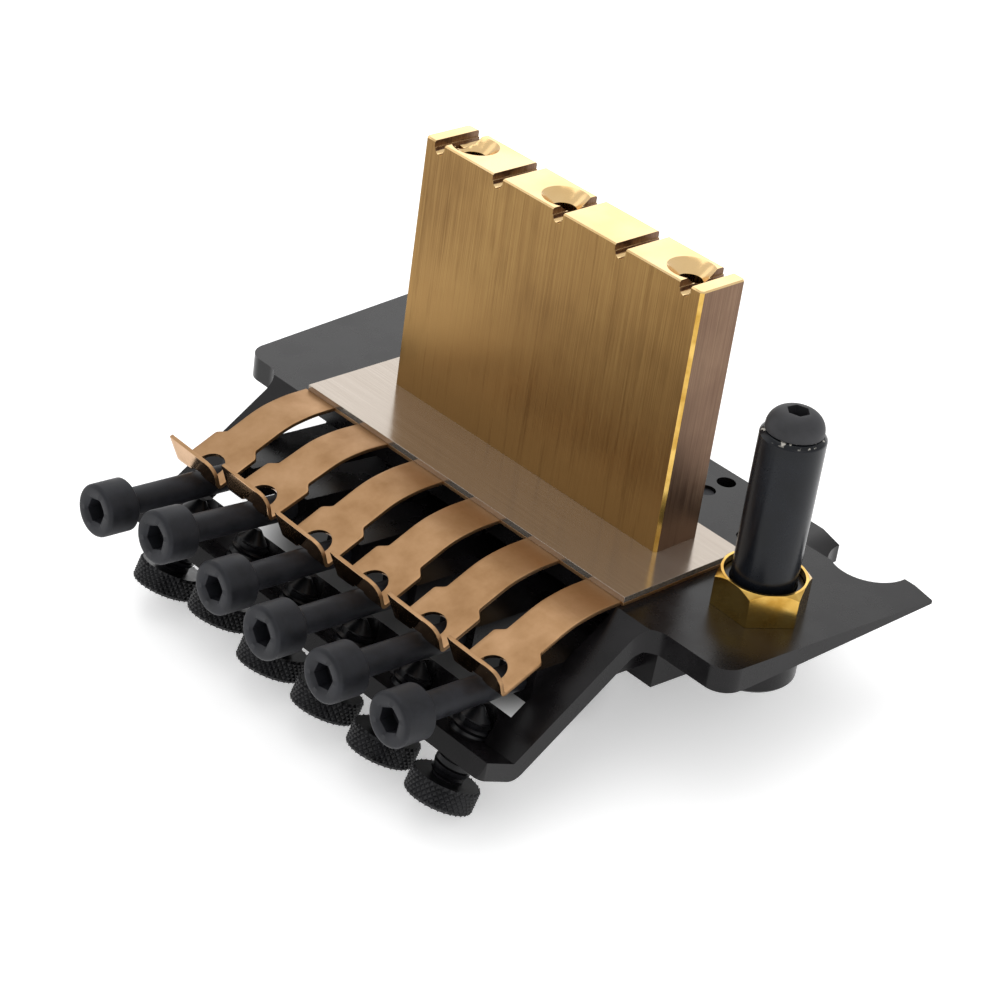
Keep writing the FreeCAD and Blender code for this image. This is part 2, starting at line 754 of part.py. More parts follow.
def saddle(i):
    name = f"saddle_{i}"
    drop = saddle_drop(i)
    half = 0.5 * mm.saddle_width
    flank = extrude(name + "_flank", "YZ_Plane", [
        ("-1 * saddle_back", "-1 * saddle_top_gap"), ("nose_start", "-1 * saddle_top_gap"),
        ("nose_start", "-1 * nose_drop"), ("saddle_front", "-1 * nose_drop"),
        ("saddle_front", -drop), ("-1 * saddle_back", -drop)], "saddle_width", {4: "saddle_round"})
    cheeks = rod(name + "_cheeks", "cheek_radius", "saddle_width", (-half, 0, 0), axis_x)
    lever = box(name + "_lever", "2 * lever_half_width", "lever_end - cavity_back - running_gap",
                "lever_up + lever_down",
                (-mm.lever_half_width, -mm.lever_end, -mm.lock_drop - mm.lever_down))
    lug_room = mm.lug_radius + mm.lug_gap
    lug_slot = box(name + "_lug_slot", "lug_width + 2 * lug_gap", "2 * saddle_front + lug_radius",
                   "4 * lug_radius",
                   (-0.5 * mm.lug_width - mm.lug_gap, -lug_room, -lug_room))
    pin_bore = rod(name + "_pin_bore", "pin_radius + running_gap", "2 * saddle_width",
                   (-2 * half, 0, 0), axis_x)
    cavity = box(name + "_cavity", "cavity_width", "cavity_back - cavity_front", "2 * saddle_height",
                 (-0.5 * mm.cavity_width, -mm.cavity_back, -mm.cavity_roof - 2 * mm.saddle_height))
    lock_bore = rod(name + "_lock_bore", "lock_radius + running_gap", "2 * lever_end",
                    (0, -mm.cavity_front - mm.clamp_length, -mm.lock_drop), axis_y * -1)
    groove = rod(name + "_groove", "groove_radius", "4 * saddle_front", (0, -mm.cavity_back, -drop), axis_y)
    blank = fuse(name + "_blank", flank, cheeks, lever)
    return cut(name, blank, lug_slot, pin_bore, cavity, lock_bore, groove)


def string_clamp(i):
    name = f"string_clamp_{i}"
    front = clamp_back(i) + mm.clamp_length
    roof = -mm.cavity_roof - mm.cavity_gap
    block = box(name + "_block", "cavity_width - 2 * cavity_gap", "clamp_length", "clamp_height",
                (mm.cavity_gap - 0.5 * mm.cavity_width, clamp_back(i), roof - mm.clamp_height))
    groove = rod(name + "_groove", "clamp_groove", "2 * clamp_height",
                 (0, front, roof - 1.5 * mm.clamp_height))
    return cut(name, block, groove)


def lock_screw(i):
    name = f"lock_screw_{i}"
    neck = "lock_length - lock_head_length"
    body = turned(name + "_blank", [
        (0, 0), ("lock_radius - lock_tip", 0), ("lock_radius", "lock_tip"), ("lock_radius", neck),
        ("lock_head_radius", neck), ("lock_head_radius", "lock_length"), (0, "lock_length")],
        {5: "lock_head_round"})
    drive = socket(name + "_drive", "lock_hex", "2 * lock_socket", (0, 0, mm.lock_length - mm.lock_socket))
    sink = cone(name + "_sink", "lock_hex * 0.57735 - lock_sink", "lock_hex * 0.57735 + lock_sink",
                "2 * lock_sink", (0, 0, mm.lock_length - mm.lock_sink))
    return cut(name, body, fuse(name + "_mouth", drive, sink))


def tuner_screw(i):
    seat = "knob_height + running_gap"
    end = "knob_height - spigot_length"
    return turned(f"tuner_screw_{i}", [
        (0, end), ("spigot_radius", end), ("spigot_radius", seat), ("tuner_radius", seat),
        ("tuner_radius", tuner_length - mm.tuner_tip_length), ("tuner_tip_radius", tuner_length),
        (0, tuner_length)])


def tuner_knob(i):
    hole = "spigot_radius + running_gap"
    floor = "knob_height - spigot_length - running_gap"
    inset = "knob_radius - knob_chamfer"
    return turned(f"tuner_knob_{i}", [
        (0, 0), (inset, 0), ("knob_radius", "knob_chamfer"), ("knob_radius", "knob_height - knob_chamfer"),
        (inset, "knob_height"), (hole, "knob_height"), (hole, floor), (0, floor)])


def comb_finger(i):
    # In its own frame: the comb's tail edge is y = 0, and the finger runs to the tail
    name = f"comb_finger_{i}"
    half_sheet = 0.5 * mm.comb_thickness
    slope_run = mm.finger_reach - mm.finger_knee
    fold_z = half_sheet - mm.finger_knee_drop - slope_run * math.tan(math.radians(mm.finger_slope))
    top = [
        ("-1 * finger_gap", half_sheet),
        ("-1 * finger_flat", half_sheet),
        ("-1 * finger_knee", half_sheet - mm.finger_knee_drop),
        ("-1 * finger_reach", fold_z),
    ]
    under = [(y, z - mm.comb_thickness) for y, z in reversed(top)]
    flat_under = "finger_flat_round - comb_thickness"
    knee_under = "finger_knee_round - comb_thickness"
    sheet_side = extrude(name + "_side", "YZ_Plane", top + under, "2 * finger_head_width", {
        1: "finger_flat_round", 2: "finger_knee_round", 5: knee_under, 6: flat_under})
    start = "-1 * finger_head_start"
    end = "-2 * finger_reach"
    right = [("0.5 * finger_width", 0), ("0.5 * finger_head_width", f"{start} - finger_shoulder"),
             ("0.5 * finger_head_width", end)]
    plan_points = [right[0], ("0.5 * finger_width", start)] + right[1:]
    plan_points += [("-1 * " + x, y) for x, y in reversed(plan_points)]
    plan = extrude(name + "_plan", "XY_Plane", plan_points, "4 * finger_reach")
    half_head = "0.5 * finger_head_width"
    far_head = "-1 * " + half_head
    foot = "-0.5 * comb_thickness"
    # The upturned lip ends in a pointed ear on the far side
    lip = extrude(name + "_lip", "XZ_Plane", [
        (far_head, foot), (half_head, foot), (half_head, "lip_height"),
        (far_head + " - ear_reach", "lip_height + ear_rise")], "comb_thickness", {2: "lip_round"})
    fold = Vector(0, -mm.finger_reach + half_sheet, fold_z - half_sheet)
    lip.Placement = Placement(fold, Rotation(axis_x, mm.finger_slope - mm.lip_lean))
    slope = Rotation(axis_x, mm.finger_slope)
    hole_low = fold + slope.multVec(Vector(0, mm.finger_hole_inset, -2 * mm.comb_thickness))
    hole = rod(name + "_hole", "finger_hole_radius", "4 * comb_thickness", hole_low, slope.multVec(axis_z))
    lock_start = lock_line - Vector(0, -mm.shim_tail, finger_hinge_z) + lever_way * mm.lever_end
    passage = rod(name + "_passage", "lock_radius + finger_clearance", "0.5 * lock_length",
                  lock_start, lever_way)
    blank = fuse(name + "_blank", common(name + "_sheet", sheet_side, plan), lip)
    return cut(name, blank, fuse(name + "_opening", hole, passage))


# Each node's object and its place in the bridge's frame
nodes = {}


def add(item, place=Placement()):
    item.Label = item.Name
    nodes[item.Name] = (item, place)


block_place = Placement(Vector(mm.block_offset, 0, stack_top + 0.5 * mm.block_height), Rotation())
holder_place = Placement(holder, Rotation())
torque_place = Placement(holder + axis_z * (mm.sleeve_top + mm.dome_gap - mm.torque_bite), Rotation())

add(base_plate())
add(spring_comb())
add(shim_plate())
add(sustain_block(), block_place)
add(block_screws())
add(saddle_screws())
add(arm_bushing(), holder_place)
add(arm_nut(), holder_place)
add(arm_sleeve(), holder_place)
add(arm_torque_screw(), torque_place)
for i in strings:
    add(saddle_base(i), string_place(i))
    add(saddle_pin(i), string_place(i) * Placement(Vector(-0.5 * mm.pin_length, mm.pin_y, pin_z),
                                                   Rotation(axis_z, axis_x)))
    add(saddle(i), saddle_place(i))
    add(string_clamp(i), saddle_place(i))
    add(lock_screw(i), lock_place(i))
    add(tuner_screw(i), tuner_place(i))
    add(tuner_knob(i), tuner_place(i))
    add(comb_finger(i), finger_place(i))

# The bridge lies on a line that leaves the knobs' low rims and touches the tallest saddle's round
knob_rim = tuner_foot - shelf_way * mm.knob_radius
middle = string_count // 2
round_centre = saddle_place(middle).multVec(
    Vector(0, mm.saddle_front - mm.saddle_round, mm.saddle_round - saddle_drop(middle)))
rise = Vector(0, round_centre.y, round_centre.z) - knob_rim
lie_angle = math.degrees(math.atan2(rise.z, rise.y) - math.asin(mm.saddle_round / rise.Length))
laid = Placement(Vector(), Rotation(axis_x, -lie_angle))

for item, place in nodes.values():
    item.Placement = laid * place
doc.recompute()

# The origin is under the middle of the laid bridge's box, on the bench
reach = FreeCAD.BoundBox()
for item, place in nodes.values():
    reach.add(item.Shape.optimalBoundingBox(True, False))
to_origin = Vector(-reach.Center.x, -reach.Center.y, -reach.ZMin)
lie = Placement(to_origin, Rotation()) * laid
for item, place in nodes.values():
    item.Placement = lie * place
doc.recompute()

# Nothing is written unless every feature and every solid is sound
failed = [item.Name for item in doc.Objects if "Invalid" in item.State or "Error" in item.State]
unsound = [name for name, (item, place) in nodes.items() if item.Shape.isNull() or not item.Shape.isValid()]
if failed or unsound:
    raise RuntimeError(f"failed features {failed}, unsound pieces {unsound}")

os.makedirs("parts", exist_ok=True)
for name, (item, place) in nodes.items():
    item.Shape.exportStep(f"parts/{name}.step")
print(f"{len(nodes)} pieces, {reach.XLength:.1f} x {reach.YLength:.1f} x {reach.ZLength:.1f} mm,"
      f" lying at {lie_angle:.2f} degrees")
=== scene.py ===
import json
import math
import bmesh
import bpy
from mathutils import Matrix, Vector
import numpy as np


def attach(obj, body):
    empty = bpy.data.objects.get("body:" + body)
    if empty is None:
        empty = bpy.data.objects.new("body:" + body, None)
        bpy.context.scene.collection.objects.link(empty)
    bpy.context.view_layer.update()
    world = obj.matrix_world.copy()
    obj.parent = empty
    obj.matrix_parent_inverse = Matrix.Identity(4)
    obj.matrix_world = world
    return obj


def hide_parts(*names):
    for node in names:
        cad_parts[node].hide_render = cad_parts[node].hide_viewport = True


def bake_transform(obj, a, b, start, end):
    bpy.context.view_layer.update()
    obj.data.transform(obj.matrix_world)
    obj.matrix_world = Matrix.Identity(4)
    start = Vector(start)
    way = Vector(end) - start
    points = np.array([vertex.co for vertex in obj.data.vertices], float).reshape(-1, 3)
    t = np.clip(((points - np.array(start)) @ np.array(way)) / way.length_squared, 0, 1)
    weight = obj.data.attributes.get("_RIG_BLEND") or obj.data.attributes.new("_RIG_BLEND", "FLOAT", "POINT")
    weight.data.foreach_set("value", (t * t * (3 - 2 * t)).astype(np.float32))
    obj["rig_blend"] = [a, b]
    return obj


# Guitar tremolo bridge lying string side down on a pale bench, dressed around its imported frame

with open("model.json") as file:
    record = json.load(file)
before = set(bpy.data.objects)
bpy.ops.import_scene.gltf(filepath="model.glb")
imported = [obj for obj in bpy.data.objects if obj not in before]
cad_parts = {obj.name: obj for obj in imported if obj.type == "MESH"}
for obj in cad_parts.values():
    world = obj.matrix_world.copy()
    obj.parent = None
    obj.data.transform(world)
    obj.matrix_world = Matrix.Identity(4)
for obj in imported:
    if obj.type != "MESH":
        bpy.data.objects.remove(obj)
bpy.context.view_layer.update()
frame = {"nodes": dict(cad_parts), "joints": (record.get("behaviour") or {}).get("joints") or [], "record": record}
cadNodes = frame["nodes"]
joints = {joint["name"]: joint for joint in frame["joints"]}
bodyOf = {node: body for body, members in frame["record"]["behaviour"]["bodies"].items() for node in members}
strings = range(1, 7)
mm = 0.001
scene = bpy.context.scene
print("frame loaded,", len(cadNodes), "nodes")


# The bridge's own frame: x across the strings, y to the neck, z up the block, plate's spring side at zero

combSheet = {"tail": 14.3, "thickness": 0.5}


def bridgeFrame():
    up = Vector(joints["arm_torque_turn"]["axis"])
    across = Vector((1, 0, 0))
    turn = Matrix((across, up.cross(across), up)).transposed()
    hinges = [Vector(joints[f"finger_flex_{i}"]["pos_m"]) for i in (1, 6)]
    middle = (hinges[0] + hinges[1]) / 2
    tail = Vector((0, -combSheet["tail"], combSheet["thickness"] / 2)) * mm
    return Matrix.Translation(middle - turn @ tail) @ turn.to_4x4()


bridge = bridgeFrame()
lieAngle = -bridge.to_euler().x
millimetres = Matrix.Scale(mm, 4)


def spun(point, axis):
    # A frame on a turning joint: z along its axis, x across the strings
    along = Vector(axis).normalized()
    across = Vector((1, 0, 0))
    turn = Matrix((across, along.cross(across), along)).transposed()
    return Matrix.Translation(Vector(point)) @ turn.to_4x4()


# Small helpers for meshes

def addPiece(name, bm, matrix):
    mesh = bpy.data.meshes.new(name)
    bm.to_mesh(mesh)
    bm.free()
    mesh.transform(matrix @ millimetres)
    piece = bpy.data.objects.new(name, mesh)
    scene.collection.objects.link(piece)
    return piece


def settle(piece):
    # Turns the modifiers' result into a plain mesh
    graph = bpy.context.evaluated_depsgraph_get()
    mesh = bpy.data.meshes.new_from_object(piece.evaluated_get(graph))
    piece.modifiers.clear()
    piece.data = mesh
    return piece


def softEdges(piece, width, sharp=30.0):
    piece.data.shade_smooth()
    bevel = piece.modifiers.new("edge", "BEVEL")
    bevel.width = width * mm
    bevel.segments = 2
    bevel.limit_method = "ANGLE"
    bevel.angle_limit = math.radians(sharp)
    bevel.miter_outer = "MITER_ARC"
    weighted = piece.modifiers.new("flats", "WEIGHTED_NORMAL")
    weighted.keep_sharp = True
    return settle(piece)


def softCopy(name, node, width, sharp=30.0):
    # A copy of the node's solid with its edges broken, so that they catch the light
    bm = bmesh.new()
    bm.from_mesh(cadNodes[node].data)
    bmesh.ops.remove_doubles(bm, verts=bm.verts, dist=0.0005 * mm)
    bmesh.ops.dissolve_limit(bm, angle_limit=math.radians(0.4), verts=bm.verts, edges=bm.edges)
    mesh = bpy.data.meshes.new(name)
    bm.to_mesh(mesh)
    bm.free()
    piece = bpy.data.objects.new(name, mesh)
    scene.collection.objects.link(piece)
    return softEdges(piece, width, sharp)


def hexReach(angle, corner):
    # Distance from a hexagon's middle to its side, at an angle from one of its corners
    inner = corner * math.cos(math.pi / 6)
    return inner / math.cos(angle % (math.pi / 3) - math.pi / 6)


def lathe(points, steps, turn=0.0):
    # Rings of (radius, height), or (corner, height, "hex") for a hexagon; radius 0 is a pole
    bm = bmesh.new()
    rings = []
    for point in points:
        if point[0] == 0:
            rings.append([bm.verts.new((0, 0, point[1]))] * steps)
            continue
        ring = []
        for k in range(steps):
            angle = 2 * math.pi * k / steps
            reach = hexReach(angle, point[0]) if len(point) > 2 else point[0]
            spot = (reach * math.cos(angle + turn), reach * math.sin(angle + turn), point[1])
            ring.append(bm.verts.new(spot))
        rings.append(ring)
    for low, high in zip(rings, rings[1:]):
        for k in range(steps):
            n = (k + 1) % steps
            corners = list(dict.fromkeys((low[k], low[n], high[n], high[k])))
            bm.faces.new(corners)
    bmesh.ops.recalc_face_normals(bm, faces=bm.faces)
    return bm


def arcPoints(centre, radius, start, end, count):
    # Points (r, z) on an arc, angles in degrees
    spots = []
    for k in range(count + 1):
        angle = math.radians(start + (end - start) * k / count)
        spots.append((centre[0] + radius * math.cos(angle), centre[1] + radius * math.sin(angle)))
    return spots


def smoothShade(piece, sharp=35.0):
    piece.data.shade_smooth()
    piece.data.set_sharp_from_angle(angle=math.radians(sharp))


def dress(piece, material, body, slot, *replaced):
    if not piece.data.materials:
        piece.data.materials.append(material)
    for k in range(len(piece.data.materials)):
        if piece.data.materials[k] is None:
            piece.data.materials[k] = material
    if "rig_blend" not in piece:
        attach(piece, body)
    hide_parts(*replaced)


# Small helpers for materials and node trees

def linear(hexColour):
    shades = [int(hexColour[k:k + 2], 16) / 255 for k in (1, 3, 5)]
    return tuple(c / 12.92 if c <= 0.04045 else ((c + 0.055) / 1.055) ** 2.4 for c in shades) + (1.0,)


def addNode(tree, kind, inputs=None, stops=(), **settings):
    node = tree.nodes.new(kind)
    for name, value in settings.items():
        setattr(node, name, value)
    for k, (place, colour) in enumerate(stops):
        elements = node.color_ramp.elements
        element = elements[k] if k < len(elements) else elements.new(place)
        element.position = place
        element.color = colour
    for key, value in (inputs or {}).items():
        if isinstance(value, bpy.types.NodeSocket):
            tree.links.new(value, node.inputs[key])
        else:
            node.inputs[key].default_value = value
    return node


def startMaterial(name, fixed):
    # A material with its shader's constants set, and a vector in millimetres of the bridge's own frame
    material = bpy.data.materials.new(name)
    material.use_nodes = True
    tree = material.node_tree
    shader = tree.nodes["Principled BSDF"]
    for socket, value in fixed.items():
        shader.inputs[socket].default_value = value
    spot = addNode(tree, "ShaderNodeTexCoord").outputs["Object"]
    back = bridge.to_3x3().inverted() @ bridge.translation / -mm
    placed = addNode(tree, "ShaderNodeMapping", {
        "Vector": spot, "Scale": (1 / mm,) * 3, "Rotation": (lieAngle, 0, 0), "Location": back})
    return material, tree, shader, placed.outputs["Vector"]


print("helpers ready")


# Raw brass, sawn and brushed along the block's height: fine upright scratches, patches and a few brown
# streaks; painted light low down, where each face is blended towards a set tone, paler on the long sides
brassFinishes = {
    # the long sides: a brownish gold
    "sawnBrass": {"bright": "#A0804E", "middle": "#8D6D41", "dull": "#775934", "paintedLightTone": "#A07D4C",
                  "scratch": 0.16, "run": 18.0, "patch": 16.0, "grit": 0.05, "smooth": 0.28, "coarse": 0.42,
                  "paintedLightLow": 12.0, "paintedLightHigh": 27.0, "paintedLightWobble": 7.0, "streak": "#5E4020", "streakWide": 1.1,
                  "streakRun": 22.0},
    # the short ends: duller and pinker
    "endBrass": {"bright": "#8A705A", "middle": "#795F4C", "dull": "#674E3E", "paintedLightTone": "#765C49",
                 "scratch": 0.22, "run": 14.0, "patch": 10.0, "grit": 0.04, "smooth": 0.3, "coarse": 0.45,
                 "paintedLightLow": 3.0, "paintedLightHigh": 10.0, "paintedLightWobble": 5.0, "streak": "#54402F", "streakWide": 0.8,
                 "streakRun": 16.0},
}


def makeSawnBrass(name):
    size = brassFinishes[name]
    material, tree, shader, spot = startMaterial(name, {"Metallic": 1.0})
    lines = addNode(tree, "ShaderNodeMapping", {
        "Vector": spot, "Scale": (1 / size["scratch"], 1 / size["scratch"], 1 / size["run"])})
    scratch = addNode(tree, "ShaderNodeTexNoise", {
        "Vector": lines.outputs["Vector"], "Scale": 1.0, "Detail": 5.0, "Roughness": 0.65})
    patch = addNode(tree, "ShaderNodeTexNoise", {
        "Vector": spot, "Scale": 1 / size["patch"], "Detail": 3.0, "Roughness": 0.6})
    mean = addNode(tree, "ShaderNodeMix", {
        "Factor": 0.35, "A": scratch.outputs["Fac"], "B": patch.outputs["Fac"]})
    raw = addNode(tree, "ShaderNodeValToRGB", {"Fac": mean.outputs["Result"]}, stops=[
        (0.36, linear(size["dull"])), (0.5, linear(size["middle"])), (0.64, linear(size["bright"]))])
    # Painted light: below a wobbly height each face is blended towards a set tone
    height = addNode(tree, "ShaderNodeSeparateXYZ", {"Vector": spot}).outputs["Z"]
    paintedLightWobble = addNode(tree, "ShaderNodeTexNoise", {"Vector": spot, "Scale": 1 / size["paintedLightWobble"], "Detail": 4.0})
    wander = addNode(tree, "ShaderNodeMath", {
        0: paintedLightWobble.outputs["Fac"], 1: size["paintedLightWobble"], 2: height}, operation="MULTIPLY_ADD")
    low = size["paintedLightLow"] + size["paintedLightWobble"] / 2
    high = size["paintedLightHigh"] + size["paintedLightWobble"] / 2
    band = addNode(tree, "ShaderNodeMapRange", {
        "Value": wander.outputs[0], "From Min": low, "From Max": high, "To Min": 0.75, "To Max": 0.0},
        interpolation_type="SMOOTHSTEP")
    colour = addNode(tree, "ShaderNodeMix", {
        "Factor": band.outputs["Result"], 6: raw.outputs["Color"], 7: linear(size["paintedLightTone"])},
        data_type="RGBA")
    tall = addNode(tree, "ShaderNodeMapping", {
        "Vector": spot, "Scale": (1 / size["streakWide"], 1 / size["streakWide"], 1 / size["streakRun"])})
    streaks = addNode(tree, "ShaderNodeTexNoise", {
        "Vector": tall.outputs["Vector"], "Scale": 1.0, "Detail": 4.0, "Roughness": 0.7})
    marked = addNode(tree, "ShaderNodeMapRange", {
        "Value": streaks.outputs["Fac"], "From Min": 0.54, "From Max": 0.74, "To Max": 0.42})
    streaked = addNode(tree, "ShaderNodeMix", {
        "Factor": marked.outputs["Result"], 6: colour.outputs[2], 7: linear(size["streak"])},
        data_type="RGBA")
    tree.links.new(streaked.outputs[2], shader.inputs["Base Color"])
    rough = addNode(tree, "ShaderNodeMapRange", {
        "Value": scratch.outputs["Fac"], "From Min": 0.3, "From Max": 0.7,
        "To Min": size["smooth"], "To Max": size["coarse"]})
    tree.links.new(rough.outputs["Result"], shader.inputs["Roughness"])
    bump = addNode(tree, "ShaderNodeBump", {
        "Height": scratch.outputs["Fac"], "Strength": 0.35, "Distance": size["grit"] * mm})
    tree.links.new(bump.outputs["Normal"], shader.inputs["Normal"])
    return material


# Freshly milled brass on the block's free end: bright, with faint cutter sweeps
milledBrass = {"bright": "#F4D4A0", "middle": "#E9C48A", "sweep": 0.35, "cutter": 9.0, "depth": 0.01}


def makeMilledBrass():
    size = milledBrass
    material, tree, shader, spot = startMaterial("milledBrass", {"Metallic": 1.0, "Roughness": 0.2})
    wave = addNode(tree, "ShaderNodeTexWave", {
        "Vector": spot, "Scale": 0.05 / size["sweep"], "Distortion": 0.6, "Detail": 1.0},
        wave_type="RINGS", rings_direction="Z")
    noise = addNode(tree, "ShaderNodeTexNoise", {"Vector": spot, "Scale": 1 / size["cutter"], "Detail": 3.0})
    colour = addNode(tree, "ShaderNodeValToRGB", {"Fac": noise.outputs["Fac"]}, stops=[
        (0.35, linear(size["middle"])), (0.65, linear(size["bright"]))])
    tree.links.new(colour.outputs["Color"], shader.inputs["Base Color"])
    bump = addNode(tree, "ShaderNodeBump", {
        "Height": wave.outputs["Fac"], "Strength": 0.25, "Distance": size["depth"] * mm})
    tree.links.new(bump.outputs["Normal"], shader.inputs["Normal"])
    return material


# Turned brass nut: clean and glossy, with a little tarnish
turnedBrass = {"bright": "#DDB765", "middle": "#B98D3C", "tarnish": 3.0, "smooth": 0.13, "dull": 0.24}


def makeTurnedBrass():
    size = turnedBrass
    material, tree, shader, spot = startMaterial("turnedBrass", {"Metallic": 1.0})
    noise = addNode(tree, "ShaderNodeTexNoise", {
        "Vector": spot, "Scale": 1 / size["tarnish"], "Detail": 4.0})
    colour = addNode(tree, "ShaderNodeValToRGB", {"Fac": noise.outputs["Fac"]}, stops=[
        (0.35, linear(size["middle"])), (0.62, linear(size["bright"]))])
    tree.links.new(colour.outputs["Color"], shader.inputs["Base Color"])
    rough = addNode(tree, "ShaderNodeMapRange", {
        "Value": noise.outputs["Fac"], "From Min": 0.3, "From Max": 0.7,
        "To Min": size["dull"], "To Max": size["smooth"]})
    tree.links.new(rough.outputs["Result"], shader.inputs["Roughness"])
    return material


# Cold-rolled phosphor bronze, a soft pinkish tan with smudges
bronzeFinishes = {
    # spring side of the sheet: matte and even, with a fine roll grain
    "bronzeSheet": {"bright": "#B18D69", "middle": "#A8845F", "dull": "#9C7853", "smudge": 5.0,
                    "grain": 0.12, "depth": 0.02, "smooth": 0.4, "matte": 0.52},
    # string side, which the lips turn outwards: rolled so smooth that it mirrors the screws
    "polishedBronze": {"bright": "#CBA681", "middle": "#BE9872", "dull": "#A88058", "smudge": 4.0,
                       "grain": 0.2, "depth": 0.004, "smooth": 0.08, "matte": 0.16},
}


def makeBronze(name):
    size = bronzeFinishes[name]
    material, tree, shader, spot = startMaterial(name, {"Metallic": 1.0})
    smudge = addNode(tree, "ShaderNodeTexNoise", {
        "Vector": spot, "Scale": 1 / size["smudge"], "Detail": 4.0, "Roughness": 0.6})
    grain = addNode(tree, "ShaderNodeTexNoise", {
        "Vector": spot, "Scale": 1 / size["grain"], "Detail": 2.0, "Roughness": 0.5})
    colour = addNode(tree, "ShaderNodeValToRGB", {"Fac": smudge.outputs["Fac"]}, stops=[
        (0.3, linear(size["dull"])), (0.5, linear(size["middle"])), (0.7, linear(size["bright"]))])
    tree.links.new(colour.outputs["Color"], shader.inputs["Base Color"])
    rough = addNode(tree, "ShaderNodeMapRange", {
        "Value": smudge.outputs["Fac"], "From Min": 0.3, "From Max": 0.7,
        "To Min": size["matte"], "To Max": size["smooth"]})
    tree.links.new(rough.outputs["Result"], shader.inputs["Roughness"])
    bump = addNode(tree, "ShaderNodeBump", {
        "Height": grain.outputs["Fac"], "Strength": 0.2, "Distance": size["depth"] * mm})
    tree.links.new(bump.outputs["Normal"], shader.inputs["Normal"])
    return material


# Bright steel shim, brushed across the strings: mirrors the block softly
brushedSteel = {
    "bright": "#B2A89D", "middle": "#A2978B", "scratch": 0.1, "run": 20.0, "depth": 0.02,
    "smooth": 0.12, "coarse": 0.22, "bare": 0.78,
}


def makeBrushedSteel():
    size = brushedSteel
    material, tree, shader, spot = startMaterial("brushedSteel", {"Metallic": size["bare"]})
    lines = addNode(tree, "ShaderNodeMapping", {
        "Vector": spot, "Scale": (1 / size["run"], 1 / size["scratch"], 1 / size["scratch"])})
    scratch = addNode(tree, "ShaderNodeTexNoise", {
        "Vector": lines.outputs["Vector"], "Scale": 1.0, "Detail": 4.0, "Roughness": 0.6})
    colour = addNode(tree, "ShaderNodeValToRGB", {"Fac": scratch.outputs["Fac"]}, stops=[
        (0.35, linear(size["middle"])), (0.65, linear(size["bright"]))])
    tree.links.new(colour.outputs["Color"], shader.inputs["Base Color"])
    rough = addNode(tree, "ShaderNodeMapRange", {
        "Value": scratch.outputs["Fac"], "From Min": 0.3, "From Max": 0.7,
        "To Min": size["smooth"], "To Max": size["coarse"]})
    tree.links.new(rough.outputs["Result"], shader.inputs["Roughness"])
    bump = addNode(tree, "ShaderNodeBump", {
        "Height": scratch.outputs["Fac"], "Strength": 0.1, "Distance": size["depth"] * mm})
    tree.links.new(bump.outputs["Normal"], shader.inputs["Normal"])
    return material


# Black finishes on steel: how dark, how glossy, how lively the surface
blackFinishes = {
    # electroplated black on the plate and saddles: satin, a slightly uneven sheen
    "blackPlating": {"dark": "#0B0A0B", "light": "#161416", "smooth": 0.2, "dull": 0.34, "cloud": 7.0,
                     "grain": 0.25, "depth": 0.010, "metal": 0.0, "sheen": 0.24},
    # chemical black oxide on the lock screws: dry, greyer where handled
    "blackOxide": {"dark": "#1B1C20", "light": "#27282D", "smooth": 0.45, "dull": 0.6, "cloud": 2.2,
                   "grain": 0.16, "depth": 0.012, "metal": 0.3, "sheen": 0.35},
    # enamel on the torque screw's dome: matte and greyer
    "matteBlack": {"dark": "#252527", "light": "#333336", "smooth": 0.5, "dull": 0.62, "cloud": 3.0,
                   "grain": 0.2, "depth": 0.008, "metal": 0.0, "sheen": 0.4},
    # plated and knurled tuner knobs: darker in the grooves, glints on the points
    "knurledBlack": {"dark": "#0D0D0F", "light": "#1A1A1D", "smooth": 0.28, "dull": 0.4, "cloud": 1.5,
                     "grain": 0.2, "depth": 0.008, "metal": 0.2, "sheen": 0.35},
    # smooth semi-gloss plating on the arm holder, chipped to bare steel round its free end
    "glossBlack": {"dark": "#0C0E12", "light": "#15181E", "smooth": 0.2, "dull": 0.3, "cloud": 6.0,
                   "grain": 0.3, "depth": 0.005, "metal": 0.0, "sheen": 0.25, "chipped": "arm_sleeve",
                   "chip": 0.7, "chipReach": 0.45, "bare": "#B9B5AC"},
}


def bridgeTop(node):
    # The height of a node's highest point in the bridge's own frame
    back = bridge.inverted()
    return max((back @ vertex.co).z for vertex in cadNodes[node].data.vertices) / mm


